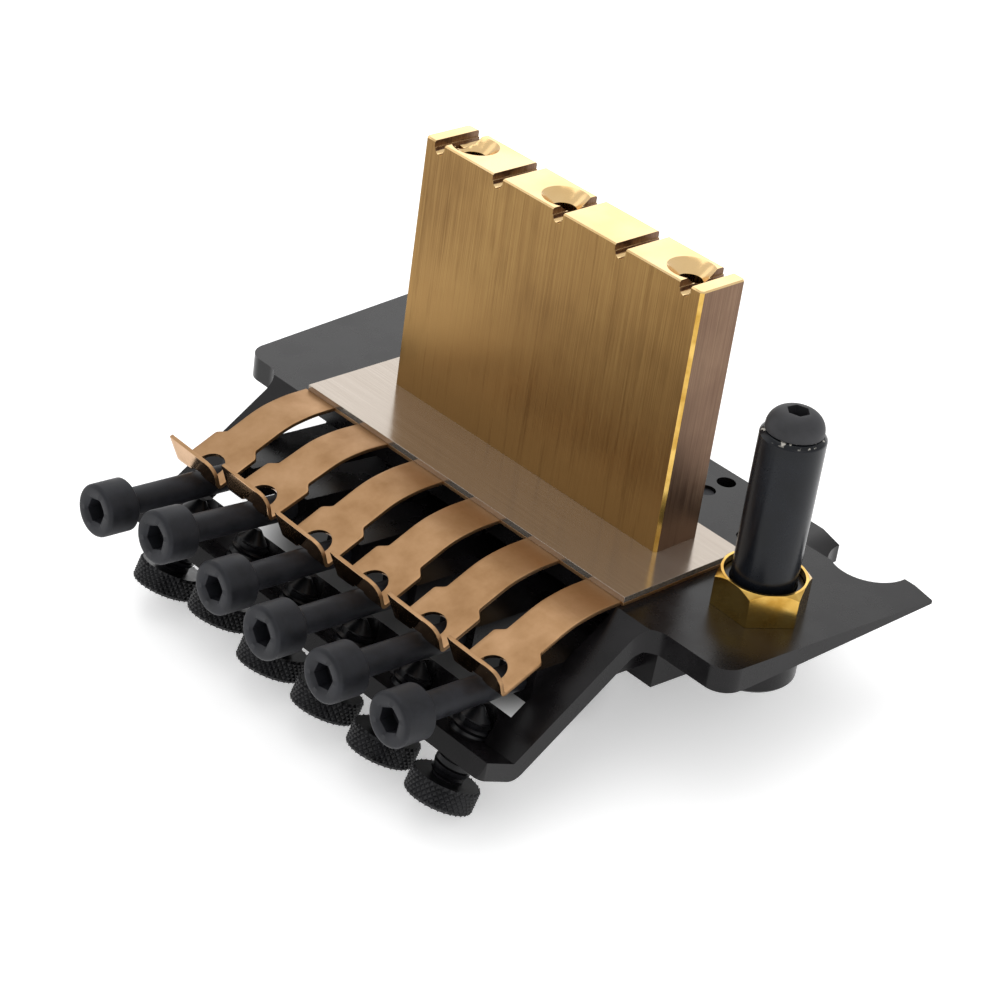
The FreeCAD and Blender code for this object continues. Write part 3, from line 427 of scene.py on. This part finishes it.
def makeBlack(name):
    size = blackFinishes[name]
    material, tree, shader, spot = startMaterial(name, {
        "Metallic": size["metal"], "Specular IOR Level": size["sheen"]})
    cloud = addNode(tree, "ShaderNodeTexNoise", {
        "Vector": spot, "Scale": 1 / size["cloud"], "Detail": 5.0, "Roughness": 0.6})
    grain = addNode(tree, "ShaderNodeTexNoise", {
        "Vector": spot, "Scale": 1 / size["grain"], "Detail": 3.0, "Roughness": 0.6})
    colour = addNode(tree, "ShaderNodeValToRGB", {"Fac": cloud.outputs["Fac"]}, stops=[
        (0.35, linear(size["dark"])), (0.68, linear(size["light"]))]).outputs["Color"]
    if "chipped" in size:
        end = bridgeTop(size["chipped"])
        height = addNode(tree, "ShaderNodeSeparateXYZ", {"Vector": spot}).outputs["Z"]
        near = addNode(tree, "ShaderNodeMapRange", {
            "Value": height, "From Min": end - size["chipReach"], "From Max": end - size["chipReach"] / 2})
        flake = addNode(tree, "ShaderNodeTexNoise", {
            "Vector": spot, "Scale": 1 / size["chip"], "Detail": 4.0})
        lost = addNode(tree, "ShaderNodeMapRange", {
            "Value": flake.outputs["Fac"], "From Min": 0.56, "From Max": 0.6,
            "To Max": near.outputs["Result"]})
        worn = addNode(tree, "ShaderNodeMix", {
            "Factor": lost.outputs["Result"], 6: colour, 7: linear(size["bare"])}, data_type="RGBA")
        colour = worn.outputs[2]
    tree.links.new(colour, shader.inputs["Base Color"])
    rough = addNode(tree, "ShaderNodeMapRange", {
        "Value": cloud.outputs["Fac"], "From Min": 0.3, "From Max": 0.7,
        "To Min": size["smooth"], "To Max": size["dull"]})
    tree.links.new(rough.outputs["Result"], shader.inputs["Roughness"])
    bump = addNode(tree, "ShaderNodeBump", {
        "Height": grain.outputs["Fac"], "Strength": 0.3, "Distance": size["depth"] * mm})
    tree.links.new(bump.outputs["Normal"], shader.inputs["Normal"])
    return material


# Ground steel of the hinge pins: grey, with a fine grain
groundSteel = {"bright": "#B9B8B6", "middle": "#8E8D8B", "grind": 0.3}


def makeGroundSteel():
    size = groundSteel
    material, tree, shader, spot = startMaterial("groundSteel", {"Metallic": 1.0, "Roughness": 0.32})
    noise = addNode(tree, "ShaderNodeTexNoise", {"Vector": spot, "Scale": 1 / size["grind"], "Detail": 3.0})
    colour = addNode(tree, "ShaderNodeValToRGB", {"Fac": noise.outputs["Fac"]}, stops=[
        (0.3, linear(size["middle"])), (0.7, linear(size["bright"]))])
    tree.links.new(colour.outputs["Color"], shader.inputs["Base Color"])
    return material


brasses = {name: makeSawnBrass(name) for name in brassFinishes}
freshBrass = makeMilledBrass()
nutBrass = makeTurnedBrass()
bronzes = {name: makeBronze(name) for name in bronzeFinishes}
shimSteel = makeBrushedSteel()
pinSteel = makeGroundSteel()
blacks = {name: makeBlack(name) for name in blackFinishes}
print("materials ready")


# Thread that winds round a turned core, and diamonds that stand on a knob's rim, as node trees

def startTree(name, sizes):
    tree = bpy.data.node_groups.new(name, "GeometryNodeTree")
    tree.interface.new_socket("Geometry", in_out="INPUT", socket_type="NodeSocketGeometry")
    for label, kind in sizes:
        tree.interface.new_socket(label, in_out="INPUT", socket_type=kind)
    tree.interface.new_socket("Geometry", in_out="OUTPUT", socket_type="NodeSocketGeometry")
    return tree, addNode(tree, "NodeGroupInput").outputs


def endTree(tree, given, parts):
    joined = addNode(tree, "GeometryNodeJoinGeometry")
    for part in parts:
        tree.links.new(part, joined.inputs["Geometry"])
    solid = addNode(tree, "GeometryNodeRealizeInstances", {"Geometry": joined.outputs["Geometry"]})
    painted = addNode(tree, "GeometryNodeSetMaterial", {
        "Geometry": solid.outputs["Geometry"], "Material": given["Material"]})
    addNode(tree, "NodeGroupOutput", {"Geometry": painted.outputs["Geometry"]})
    return tree


def threadTree():
    tree, given = startTree("windThread", [
        ("Start", "NodeSocketFloat"), ("Length", "NodeSocketFloat"), ("Pitch", "NodeSocketFloat"),
        ("Root", "NodeSocketFloat"), ("Depth", "NodeSocketFloat"), ("Material", "NodeSocketMaterial")])
    turns = addNode(tree, "ShaderNodeMath", {0: given["Length"], 1: given["Pitch"]}, operation="DIVIDE")
    wind = addNode(tree, "GeometryNodeCurveSpiral", {
        "Resolution": 40, "Rotations": turns.outputs[0], "Start Radius": given["Root"],
        "End Radius": given["Root"], "Height": given["Length"]})
    ridge = addNode(tree, "GeometryNodeCurvePrimitiveCircle", {"Resolution": 4, "Radius": given["Depth"]})
    swept = addNode(tree, "GeometryNodeCurveToMesh", {
        "Curve": wind.outputs["Curve"], "Profile Curve": ridge.outputs["Curve"], "Fill Caps": True})
    lift = addNode(tree, "ShaderNodeCombineXYZ", {"Z": given["Start"]})
    moved = addNode(tree, "GeometryNodeTransform", {
        "Geometry": swept.outputs["Mesh"], "Translation": lift.outputs["Vector"]})
    return endTree(tree, given, [given["Geometry"], moved.outputs["Geometry"]])


def knurlTree():
    tree, given = startTree("standKnurl", [
        ("Radius", "NodeSocketFloat"), ("Around", "NodeSocketInt"), ("Rows", "NodeSocketInt"),
        ("Low", "NodeSocketFloat"), ("Step", "NodeSocketFloat"), ("Tall", "NodeSocketFloat"),
        ("Wide", "NodeSocketFloat"), ("Long", "NodeSocketFloat"), ("Material", "NodeSocketMaterial")])
    count = addNode(tree, "ShaderNodeMath", {0: given["Around"], 1: given["Rows"]}, operation="MULTIPLY")
    points = addNode(tree, "GeometryNodePoints", {"Count": count.outputs[0]})
    index = addNode(tree, "GeometryNodeInputIndex").outputs["Index"]
    share = addNode(tree, "ShaderNodeMath", {0: index, 1: given["Around"]}, operation="DIVIDE")
    row = addNode(tree, "ShaderNodeMath", {0: share.outputs[0]}, operation="FLOOR")
    odd = addNode(tree, "ShaderNodeMath", {0: row.outputs[0], 1: 0.5}, operation="MULTIPLY")
    seat = addNode(tree, "ShaderNodeMath", {0: index, 1: odd.outputs[0]}, operation="ADD")
    turn = addNode(tree, "ShaderNodeMath", {0: seat.outputs[0], 1: given["Around"]}, operation="DIVIDE")
    angle = addNode(tree, "ShaderNodeMath", {0: turn.outputs[0], 1: 2 * math.pi}, operation="MULTIPLY")
    cosine = addNode(tree, "ShaderNodeMath", {0: angle.outputs[0]}, operation="COSINE")
    sine = addNode(tree, "ShaderNodeMath", {0: angle.outputs[0]}, operation="SINE")
    outX = addNode(tree, "ShaderNodeMath", {0: cosine.outputs[0], 1: given["Radius"]}, operation="MULTIPLY")
    outY = addNode(tree, "ShaderNodeMath", {0: sine.outputs[0], 1: given["Radius"]}, operation="MULTIPLY")
    height = addNode(tree, "ShaderNodeMath", {
        0: row.outputs[0], 1: given["Step"], 2: given["Low"]}, operation="MULTIPLY_ADD")
    place = addNode(tree, "ShaderNodeCombineXYZ", {
        "X": outX.outputs[0], "Y": outY.outputs[0], "Z": height.outputs[0]})
    stood = addNode(tree, "GeometryNodeSetPosition", {
        "Geometry": points.outputs["Points"], "Position": place.outputs["Vector"]})
    diamond = addNode(tree, "GeometryNodeMeshCone", {
        "Vertices": 4, "Radius Top": 0.0, "Radius Bottom": 1.0, "Depth": 1.0}, fill_type="NONE")
    lean = addNode(tree, "ShaderNodeCombineXYZ", {"Y": math.pi / 2, "Z": angle.outputs[0]})
    scale = addNode(tree, "ShaderNodeCombineXYZ", {
        "X": given["Long"], "Y": given["Wide"], "Z": given["Tall"]})
    studs = addNode(tree, "GeometryNodeInstanceOnPoints", {
        "Points": stood.outputs["Geometry"], "Instance": diamond.outputs["Mesh"],
        "Rotation": lean.outputs["Vector"], "Scale": scale.outputs["Vector"]})
    return endTree(tree, given, [given["Geometry"], studs.outputs["Instances"]])


def grow(piece, tree, sizes):
    # Runs a node tree on a piece with these named sizes, and keeps the result as a plain mesh
    modifier = piece.modifiers.new(tree.name, "NODES")
    modifier.node_group = tree
    sockets = {item.name: item.identifier for item in tree.interface.items_tree if item.in_out == "INPUT"}
    for name, value in sizes.items():
        modifier[sockets[name]] = value
    return settle(piece)


threads = threadTree()
knurls = knurlTree()
print("node trees ready")


# Plate, shim, block and the screws under them

softWidths = {
    "base_plate": ("basePlate", 0.35, "blackPlating", "plate_black"),
    "shim_plate": ("shimPlate", 0.07, None, "shim_steel"),
    "spring_comb": ("combStrip", 0.06, None, "comb_copper"),
    "block_screws": ("blockScrews", 0.12, "blackOxide", "screw_black"),
    "saddle_screws": ("saddleScrews", 0.15, "blackOxide", "screw_black"),
    "arm_bushing": ("armBushing", 0.12, "blackPlating", "holder_black"),
    "arm_sleeve": ("armSleeve", 0.15, "glossBlack", "holder_black"),
    "arm_torque_screw": ("armTorqueScrew", 0.12, "matteBlack", "holder_black"),
    "arm_nut": ("armNut", 0.12, None, "nut_brass"),
}
ownMaterials = {
    "shim_plate": shimSteel, "spring_comb": bronzes["bronzeSheet"], "arm_nut": nutBrass,
    "saddle_pin": pinSteel,
}

for node, (name, width, finish, slot) in softWidths.items():
    piece = softCopy(name, node, width)
    dress(piece, ownMaterials.get(node) or blacks[finish], bodyOf[node], slot, node)

sustainBlock = {"bevel": 0.12, "endNormal": 0.6, "chamferNormal": 0.4}


def makeBlock():
    piece = softCopy("sustainBlock", "sustain_block", sustainBlock["bevel"])
    for material in (brasses["sawnBrass"], brasses["endBrass"], freshBrass, nutBrass):
        piece.data.materials.append(material)
    back = bridge.to_3x3().inverted()
    for face in piece.data.polygons:
        across, along, up = back @ face.normal
        if up > sustainBlock["endNormal"]:
            face.material_index = 2
        # Chamfer faces take the brighter, glossier turned brass of the nut: a painted highlight along the block's
        # corners
        elif min(abs(across), abs(along)) > sustainBlock["chamferNormal"]:
            face.material_index = 3
        else:
            face.material_index = 1 if abs(across) > sustainBlock["endNormal"] else 0
    dress(piece, brasses["sawnBrass"], "bridge", "block_brass", "sustain_block")


makeBlock()
print("plate, block and arm holder ready")


# Saddles with what is in them

saddleWidths = {
    "saddle_base": ("saddleBase", 0.2, "blackPlating", "saddle_black"),
    "saddle": ("saddle", 0.3, "blackPlating", "saddle_black"),
    "string_clamp": ("stringClamp", 0.15, "blackOxide", "saddle_black"),
    "saddle_pin": ("saddlePin", 0.1, None, "pin_steel"),
}

for i in strings:
    for stem, (name, width, finish, slot) in saddleWidths.items():
        node = f"{stem}_{i}"
        piece = softCopy(f"{name}_{i}", node, width)
        dress(piece, ownMaterials.get(stem) or blacks[finish], bodyOf[node], slot, node)
print("saddles ready")


# String lock screws: plain shank, cap head with a rounded rim, countersunk hexagon socket

lockScrew = {
    "length": 45.9, "radius": 1.8, "tip": 0.6, "headRadius": 3.45, "headLength": 4.6, "rim": 0.55,
    "under": 0.2, "hexAcross": 3.0, "sink": 0.32, "socketDepth": 2.4, "drillPoint": 0.4, "steps": 72,
    "turns": {1: 12, 2: 25, 3: 18, 4: 10, 5: 13, 6: 27},
}


def makeLockScrew(i):
    size = lockScrew
    joint = joints[f"lock_turn_{i}"]
    neck = size["length"] - size["headLength"]
    corner = size["hexAcross"] / math.sqrt(3)
    rimCentre = (size["headRadius"] - size["rim"], size["length"] - size["rim"])
    top = size["length"]
    floor = top - size["socketDepth"]
    profile = [(0, 0), (size["radius"] - size["tip"], 0), (size["radius"], size["tip"]),
               (size["radius"], neck), (size["headRadius"] - size["under"], neck),
               (size["headRadius"], neck + size["under"])]
    profile += arcPoints(rimCentre, size["rim"], 0, 90, 6)
    profile += [(corner + size["sink"], top), (corner, top - size["sink"], "hex"),
                (corner, floor, "hex"), (0, floor - size["drillPoint"])]
    shape = lathe(profile, size["steps"], math.radians(size["turns"][i]))
    back = [-part for part in joint["axis"]]
    piece = addPiece(f"lockScrew_{i}", shape, spun(joint["pos_m"], back))
    smoothShade(piece)
    node = f"lock_screw_{i}"
    dress(piece, blacks["blackOxide"], bodyOf[node], "screw_black", node)


# Fine tuners: threaded screw with a cone tip, and a knob with a diamond knurl

tuner = {
    "knobRadius": 4.5, "knobHeight": 3.0, "chamfer": 0.35, "spigot": 1.5, "spigotLength": 2.0, "gap": 0.05,
    "crest": 2.45, "pitch": 0.8, "depth": 0.42, "tipRadius": 0.6, "tipLength": 1.6, "steps": 72,
    "around": 32, "rows": 5, "stud": 0.27, "sharp": 25.0,
}


def tunerLength(i):
    # From the knob's outer face to the screw's tip, read from the screw's own solid
    joint = joints[f"tuner_turn_{i}"]
    foot = Vector(joint["pos_m"])
    axis = Vector(joint["axis"])
    return max((vertex.co - foot).dot(axis) for vertex in cadNodes[f"tuner_screw_{i}"].data.vertices) / mm


def makeTunerScrew(i):
    size = tuner
    joint = joints[f"tuner_turn_{i}"]
    seat = size["knobHeight"] + size["gap"]
    end = tunerLength(i)
    root = size["crest"] - size["depth"]
    cone = end - size["tipLength"]
    start = size["knobHeight"] - size["spigotLength"]
    core = lathe([(0, start), (size["spigot"], start), (size["spigot"], seat), (root, seat), (root, cone),
                  (size["tipRadius"], end), (0, end)], size["steps"])
    piece = addPiece(f"tunerScrew_{i}", core, Matrix.Identity(4))
    grow(piece, threads, {
        "Start": (seat + size["depth"]) * mm, "Length": (cone - seat - 2 * size["depth"]) * mm,
        "Pitch": size["pitch"] * mm, "Root": root * mm, "Depth": size["depth"] * mm,
        "Material": blacks["knurledBlack"]})
    piece.data.transform(spun(joint["pos_m"], joint["axis"]))
    smoothShade(piece)
    node = f"tuner_screw_{i}"
    dress(piece, blacks["knurledBlack"], bodyOf[node], "tuner_black", node)


def makeTunerKnob(i):
    size = tuner
    joint = joints[f"tuner_turn_{i}"]
    top = size["knobHeight"]
    floor = top - size["spigotLength"] - size["gap"]
    bore = size["spigot"] + size["gap"]
    rim = size["knobRadius"] - size["stud"]
    edge = size["knobRadius"] - size["chamfer"]
    body = lathe([(0, 0), (edge, 0), (rim, size["chamfer"]), (rim, top - size["chamfer"]), (edge, top),
                  (bore, top), (bore, floor), (0, floor)], size["steps"])
    piece = addPiece(f"tunerKnob_{i}", body, Matrix.Identity(4))
    band = top - 2 * size["chamfer"]
    step = band / size["rows"]
    wide = math.pi * rim / size["around"]
    grow(piece, knurls, {
        "Radius": rim * mm, "Around": size["around"], "Rows": size["rows"] + 1, "Low": size["chamfer"] * mm,
        "Step": step * mm, "Tall": size["stud"] * mm, "Wide": wide * mm, "Long": step * mm,
        "Material": blacks["knurledBlack"]})
    piece.data.transform(spun(joint["pos_m"], joint["axis"]))
    smoothShade(piece, size["sharp"])
    node = f"tuner_knob_{i}"
    dress(piece, blacks["knurledBlack"], bodyOf[node], "tuner_black", node)


for i in strings:
    makeLockScrew(i)
    makeTunerScrew(i)
    makeTunerKnob(i)
print("lock screws and fine tuners ready")


# Comb fingers: one bent sheet each, wider at the tail end, with its end turned up as a lip and a hole
# at that bend for the lock screw

finger = {
    "flat": 3.7, "knee": 7.7, "kneeDrop": 0.55, "reach": 19.7, "slope": 23.5, "flatRound": 20.0,
    "kneeRound": 14.0, "fold": 0.55, "lip": 3.5, "lean": 6.0, "lipRound": 1.8, "earReach": 0.85,
    "earRise": 0.35, "halfNeck": 2.95, "halfHead": 4.1, "headStart": 12.7, "shoulder": 1.2, "hole": 2.1,
    "holeInset": 1.75, "passage": 2.2, "row": 0.2, "bendSteps": 6, "across": 16, "edge": 0.06,
    "bendEnd": 3.6, "underside": -0.15, "sharp": 40.0,
}
fingerSlope = math.radians(finger["slope"])


def fingerCorners():
    # The corners of the sheet's middle line in its side view (y, z), from the comb to the lip's top
    size = finger
    tail = size["reach"] - combSheet["thickness"] / 2
    fall = size["kneeDrop"] + (tail - size["knee"]) * math.tan(fingerSlope)
    tilt = fingerSlope - math.radians(size["lean"])
    fold = Vector((-tail, -fall))
    top = fold + Vector((-math.sin(tilt), math.cos(tilt))) * size["lip"]
    knee = Vector((-size["knee"], -size["kneeDrop"]))
    return [Vector((0, 0)), Vector((-size["flat"], 0)), knee, fold, top]


def fingerPath():
    # The middle line with its bends rounded, in short steps
    size = finger
    corners = fingerCorners()
    path = [corners[0]]
    for k, radius in enumerate((size["flatRound"], size["kneeRound"], size["fold"]), 1):
        before = (corners[k - 1] - corners[k]).normalized()
        after = (corners[k + 1] - corners[k]).normalized()
        run = radius / math.tan(before.angle(after) / 2)
        start = corners[k] + before * run
        end = corners[k] + after * run
        for n in range(size["bendSteps"] + 1):
            share = n / size["bendSteps"]
            path.append(start * (1 - share) ** 2 + corners[k] * 2 * share * (1 - share) + end * share ** 2)
    path.append(corners[-1])
    fine = [path[0]]
    for a, b in zip(path, path[1:]):
        count = max(1, math.ceil((b - a).length / size["row"]))
        fine += [a.lerp(b, n / count) for n in range(1, count + 1)]
    return fine


def fingerSheet():
    # The lip's near top corner is round, and its far one is drawn out into an ear
    size = finger
    path = fingerPath()
    up = (path[-1] - path[-2]).normalized()
    left = sum((b - a).length for a, b in zip(path, path[1:]))
    bm = bmesh.new()
    rows = []
    for spot, after in zip(path, path[1:] + path[-1:]):
        share = min(max((-spot.x - size["headStart"]) / size["shoulder"], 0), 1)
        half = size["halfNeck"] + (size["halfHead"] - size["halfNeck"]) * share * share * (3 - 2 * share)
        near = min(max(size["lipRound"] - left, 0), size["lipRound"])
        right = half - size["lipRound"] + math.sqrt(size["lipRound"] ** 2 - near ** 2)
        risen = max(1 - left / size["lip"], 0)
        far = -half - size["earReach"] * risen
        row = []
        for k in range(size["across"] + 1):
            across = k / size["across"]
            lifted = spot + up * size["earRise"] * risen * (1 - across)
            row.append(bm.verts.new((far + (right - far) * across, lifted.x, lifted.y)))
        rows.append(row)
        left -= (after - spot).length
    for low, high in zip(rows, rows[1:]):
        for k in range(size["across"]):
            bm.faces.new((low[k], low[k + 1], high[k + 1], high[k]))
    bmesh.ops.recalc_face_normals(bm, faces=bm.faces)
    return bm


def rodCutter(name, middle, way, radius, length):
    bm = bmesh.new()
    bmesh.ops.create_cone(bm, cap_ends=True, segments=48, radius1=radius, radius2=radius, depth=length)
    turn = way.to_track_quat("Z", "Y").to_matrix().to_4x4()
    return addPiece(name, bm, Matrix.Translation(middle * mm) @ turn)


def fingerCutters():
    # A hole through the sheet just before the lip, and room for the lock screw along its own line
    size = finger
    corner = fingerCorners()[3]
    fold = Vector((0, corner.x, corner.y))
    up = Vector((0, -math.sin(fingerSlope), math.cos(fingerSlope)))
    back = Vector((0, math.cos(fingerSlope), math.sin(fingerSlope)))
    hinge = Matrix.Translation(Vector(joints["finger_flex_1"]["pos_m"])) @ bridge.to_3x3().to_4x4()
    lockSpot = hinge.inverted() @ Vector(joints["lock_turn_1"]["pos_m"]) / mm
    lockWay = hinge.to_3x3().inverted() @ -Vector(joints["lock_turn_1"]["axis"])
    lockSpot += lockWay * (fold.y - lockSpot.y) / lockWay.y
    holeSpot = fold + back * size["holeInset"]
    return [
        rodCutter("holeCutter", holeSpot, up, size["hole"], 4 * combSheet["thickness"]),
        rodCutter("passageCutter", lockSpot, lockWay, size["passage"], 4 * size["lip"]),
    ]


def makeFinger(i):
    size = finger
    hinge = Vector(joints[f"finger_flex_{i}"]["pos_m"])
    lift = joints["finger_flex_1"]["range_deg"][1] - joints[f"finger_flex_{i}"]["range_deg"][1]
    flexed = Matrix.Rotation(-math.radians(lift), 4, "X")
    local = Matrix.Translation(hinge) @ bridge.to_3x3().to_4x4() @ flexed
    piece = addPiece(f"combFinger_{i}", fingerSheet(), Matrix.Identity(4))
    wall = piece.modifiers.new("sheet", "SOLIDIFY")
    wall.thickness = combSheet["thickness"] * mm
    wall.offset = 0
    settle(piece)
    cutters = fingerCutters()
    for cutter in cutters:
        hole = piece.modifiers.new("hole", "BOOLEAN")
        hole.operation = "DIFFERENCE"
        hole.object = cutter
        hole.solver = "EXACT"
    settle(piece)
    for cutter in cutters:
        bpy.data.objects.remove(cutter)
    softEdges(piece, size["edge"], size["sharp"])
    piece.data.materials.clear()
    piece.data.materials.append(bronzes["bronzeSheet"])
    piece.data.materials.append(bronzes["polishedBronze"])
    for face in piece.data.polygons:
        face.material_index = 1 if face.normal.z < size["underside"] else 0
    piece.data.transform(local)
    start = local @ Vector((0, 0, 0))
    end = local @ Vector((0, -size["bendEnd"] * mm, 0))
    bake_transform(piece, "bridge", f"comb_finger_{i}", start=tuple(start), end=tuple(end))
    dress(piece, bronzes["bronzeSheet"], f"comb_finger_{i}", "comb_copper", f"comb_finger_{i}")


for i in strings:
    makeFinger(i)
print("comb fingers ready")


# Pale bench with painted light and a painted shadow: it glows a little round the bridge, lightening the
# shadows there, and under the bridge the glow is masked off and its colour darkened; soft studio light and the
# camera

bench = {
    "size": 4000.0, "colour": "#F6F6F6", "light": "#F8F8F8", "cloud": 60.0, "drop": 0.02, "paintedGlow": 0.42,
    # under is the painted shadow's colour; shadeAt and shade place its ellipse, shadeIn and shadeOut its soft edge
    "under": "#6E6E6E", "shadeAt": (-7.5, -1.0), "shade": (27.0, 14.0), "shadeIn": 0.8, "shadeOut": 1.25,
}
lamps = {
    # name: place in mm, side in mm, watts
    "overhead": ((-120, 120, 520), 420, 0.55),
    "leftFill": ((-420, -160, 260), 360, 0.2),
    "rightFill": ((380, -80, 240), 300, 0.15),
    "farLeft": ((-353, 425, 233), 320, 0.3),
}
room = {"colour": "#FFFFFF", "strength": 0.82}
photoCamera = {
    "azimuth": 47.83, "elevation": 37.37, "distance": 368.2, "aim": (-2.91, 9.09, 13.56), "lens": 102.6,
    "sensor": 36.0, "near": 0.01,
}


def makeBench():
    bm = bmesh.new()
    bmesh.ops.create_grid(bm, x_segments=1, y_segments=1, size=bench["size"] / 2)
    floor = addPiece("bench", bm, Matrix.Translation((0, 0, -bench["drop"] * mm)))
    material, tree, shader, spot = startMaterial("paintedGlowBench", {
        "Roughness": 0.7, "Emission Color": linear(bench["light"])})
    # Painted shadow: inside an ellipse under the bridge the glow fades out and the colour is blended to the under
    # colour; outside it, painted light: the floor glows
    middle, half = bench["shadeAt"], bench["shade"]
    place = addNode(tree, "ShaderNodeTexCoord").outputs["Object"]
    under = addNode(tree, "ShaderNodeMapping", {
        "Vector": place, "Scale": (1 / (half[0] * mm), 1 / (half[1] * mm), 0),
        "Location": (-middle[0] / half[0], -middle[1] / half[1], 0)}).outputs["Vector"]
    reach = addNode(tree, "ShaderNodeVectorMath", {0: under}, operation="LENGTH").outputs["Value"]
    clear = addNode(tree, "ShaderNodeMapRange", {
        "Value": reach, "From Min": bench["shadeIn"], "From Max": bench["shadeOut"]},
        interpolation_type="SMOOTHSTEP").outputs["Result"]
    paintedGlow = addNode(tree, "ShaderNodeMath", {0: clear, 1: bench["paintedGlow"]}, operation="MULTIPLY")
    tree.links.new(paintedGlow.outputs[0], shader.inputs["Emission Strength"])
    cloud = addNode(tree, "ShaderNodeTexNoise", {"Vector": spot, "Scale": 1 / bench["cloud"], "Detail": 2.0})
    colour = addNode(tree, "ShaderNodeValToRGB", {"Fac": cloud.outputs["Fac"]}, stops=[
        (0.3, linear(bench["colour"])), (0.7, linear(bench["light"]))])
    shaded = addNode(tree, "ShaderNodeMix", {
        "Factor": clear, 6: linear(bench["under"]), 7: colour.outputs["Color"]}, data_type="RGBA")
    tree.links.new(shaded.outputs[2], shader.inputs["Base Color"])
    floor.data.materials.append(material)


def makeLight():
    world = bpy.data.worlds.new("softRoom")
    scene.world = world
    world.use_nodes = True
    sky = world.node_tree.nodes["Background"]
    sky.inputs["Color"].default_value = linear(room["colour"])
    sky.inputs["Strength"].default_value = room["strength"]
    for name, (place, side, watts) in lamps.items():
        lamp = bpy.data.lights.new(name, "AREA")
        lamp.shape = "SQUARE"
        lamp.size = side * mm
        lamp.energy = watts
        holder = bpy.data.objects.new(name, lamp)
        scene.collection.objects.link(holder)
        holder.location = Vector(place) * mm
        aim = Vector(photoCamera["aim"]) * mm - holder.location
        holder.rotation_euler = aim.to_track_quat("-Z", "Y").to_euler()


def makeCamera():
    view = photoCamera
    azimuth = math.radians(view["azimuth"])
    elevation = math.radians(view["elevation"])
    back = Vector((math.sin(azimuth) * math.cos(elevation), -math.cos(azimuth) * math.cos(elevation),
                   math.sin(elevation)))
    lens = bpy.data.cameras.new("photoCamera")
    lens.lens = view["lens"]
    lens.sensor_width = view["sensor"]
    lens.clip_start = view["near"]
    holder = bpy.data.objects.new("photoCamera", lens)
    scene.collection.objects.link(holder)
    holder.location = (Vector(view["aim"]) + back * view["distance"]) * mm
    holder.rotation_euler = (-back).to_track_quat("-Z", "Y").to_euler()
    scene.camera = holder


makeBench()
makeLight()
makeCamera()
scene.view_settings.view_transform = "Standard"
print("bench, light and camera ready")
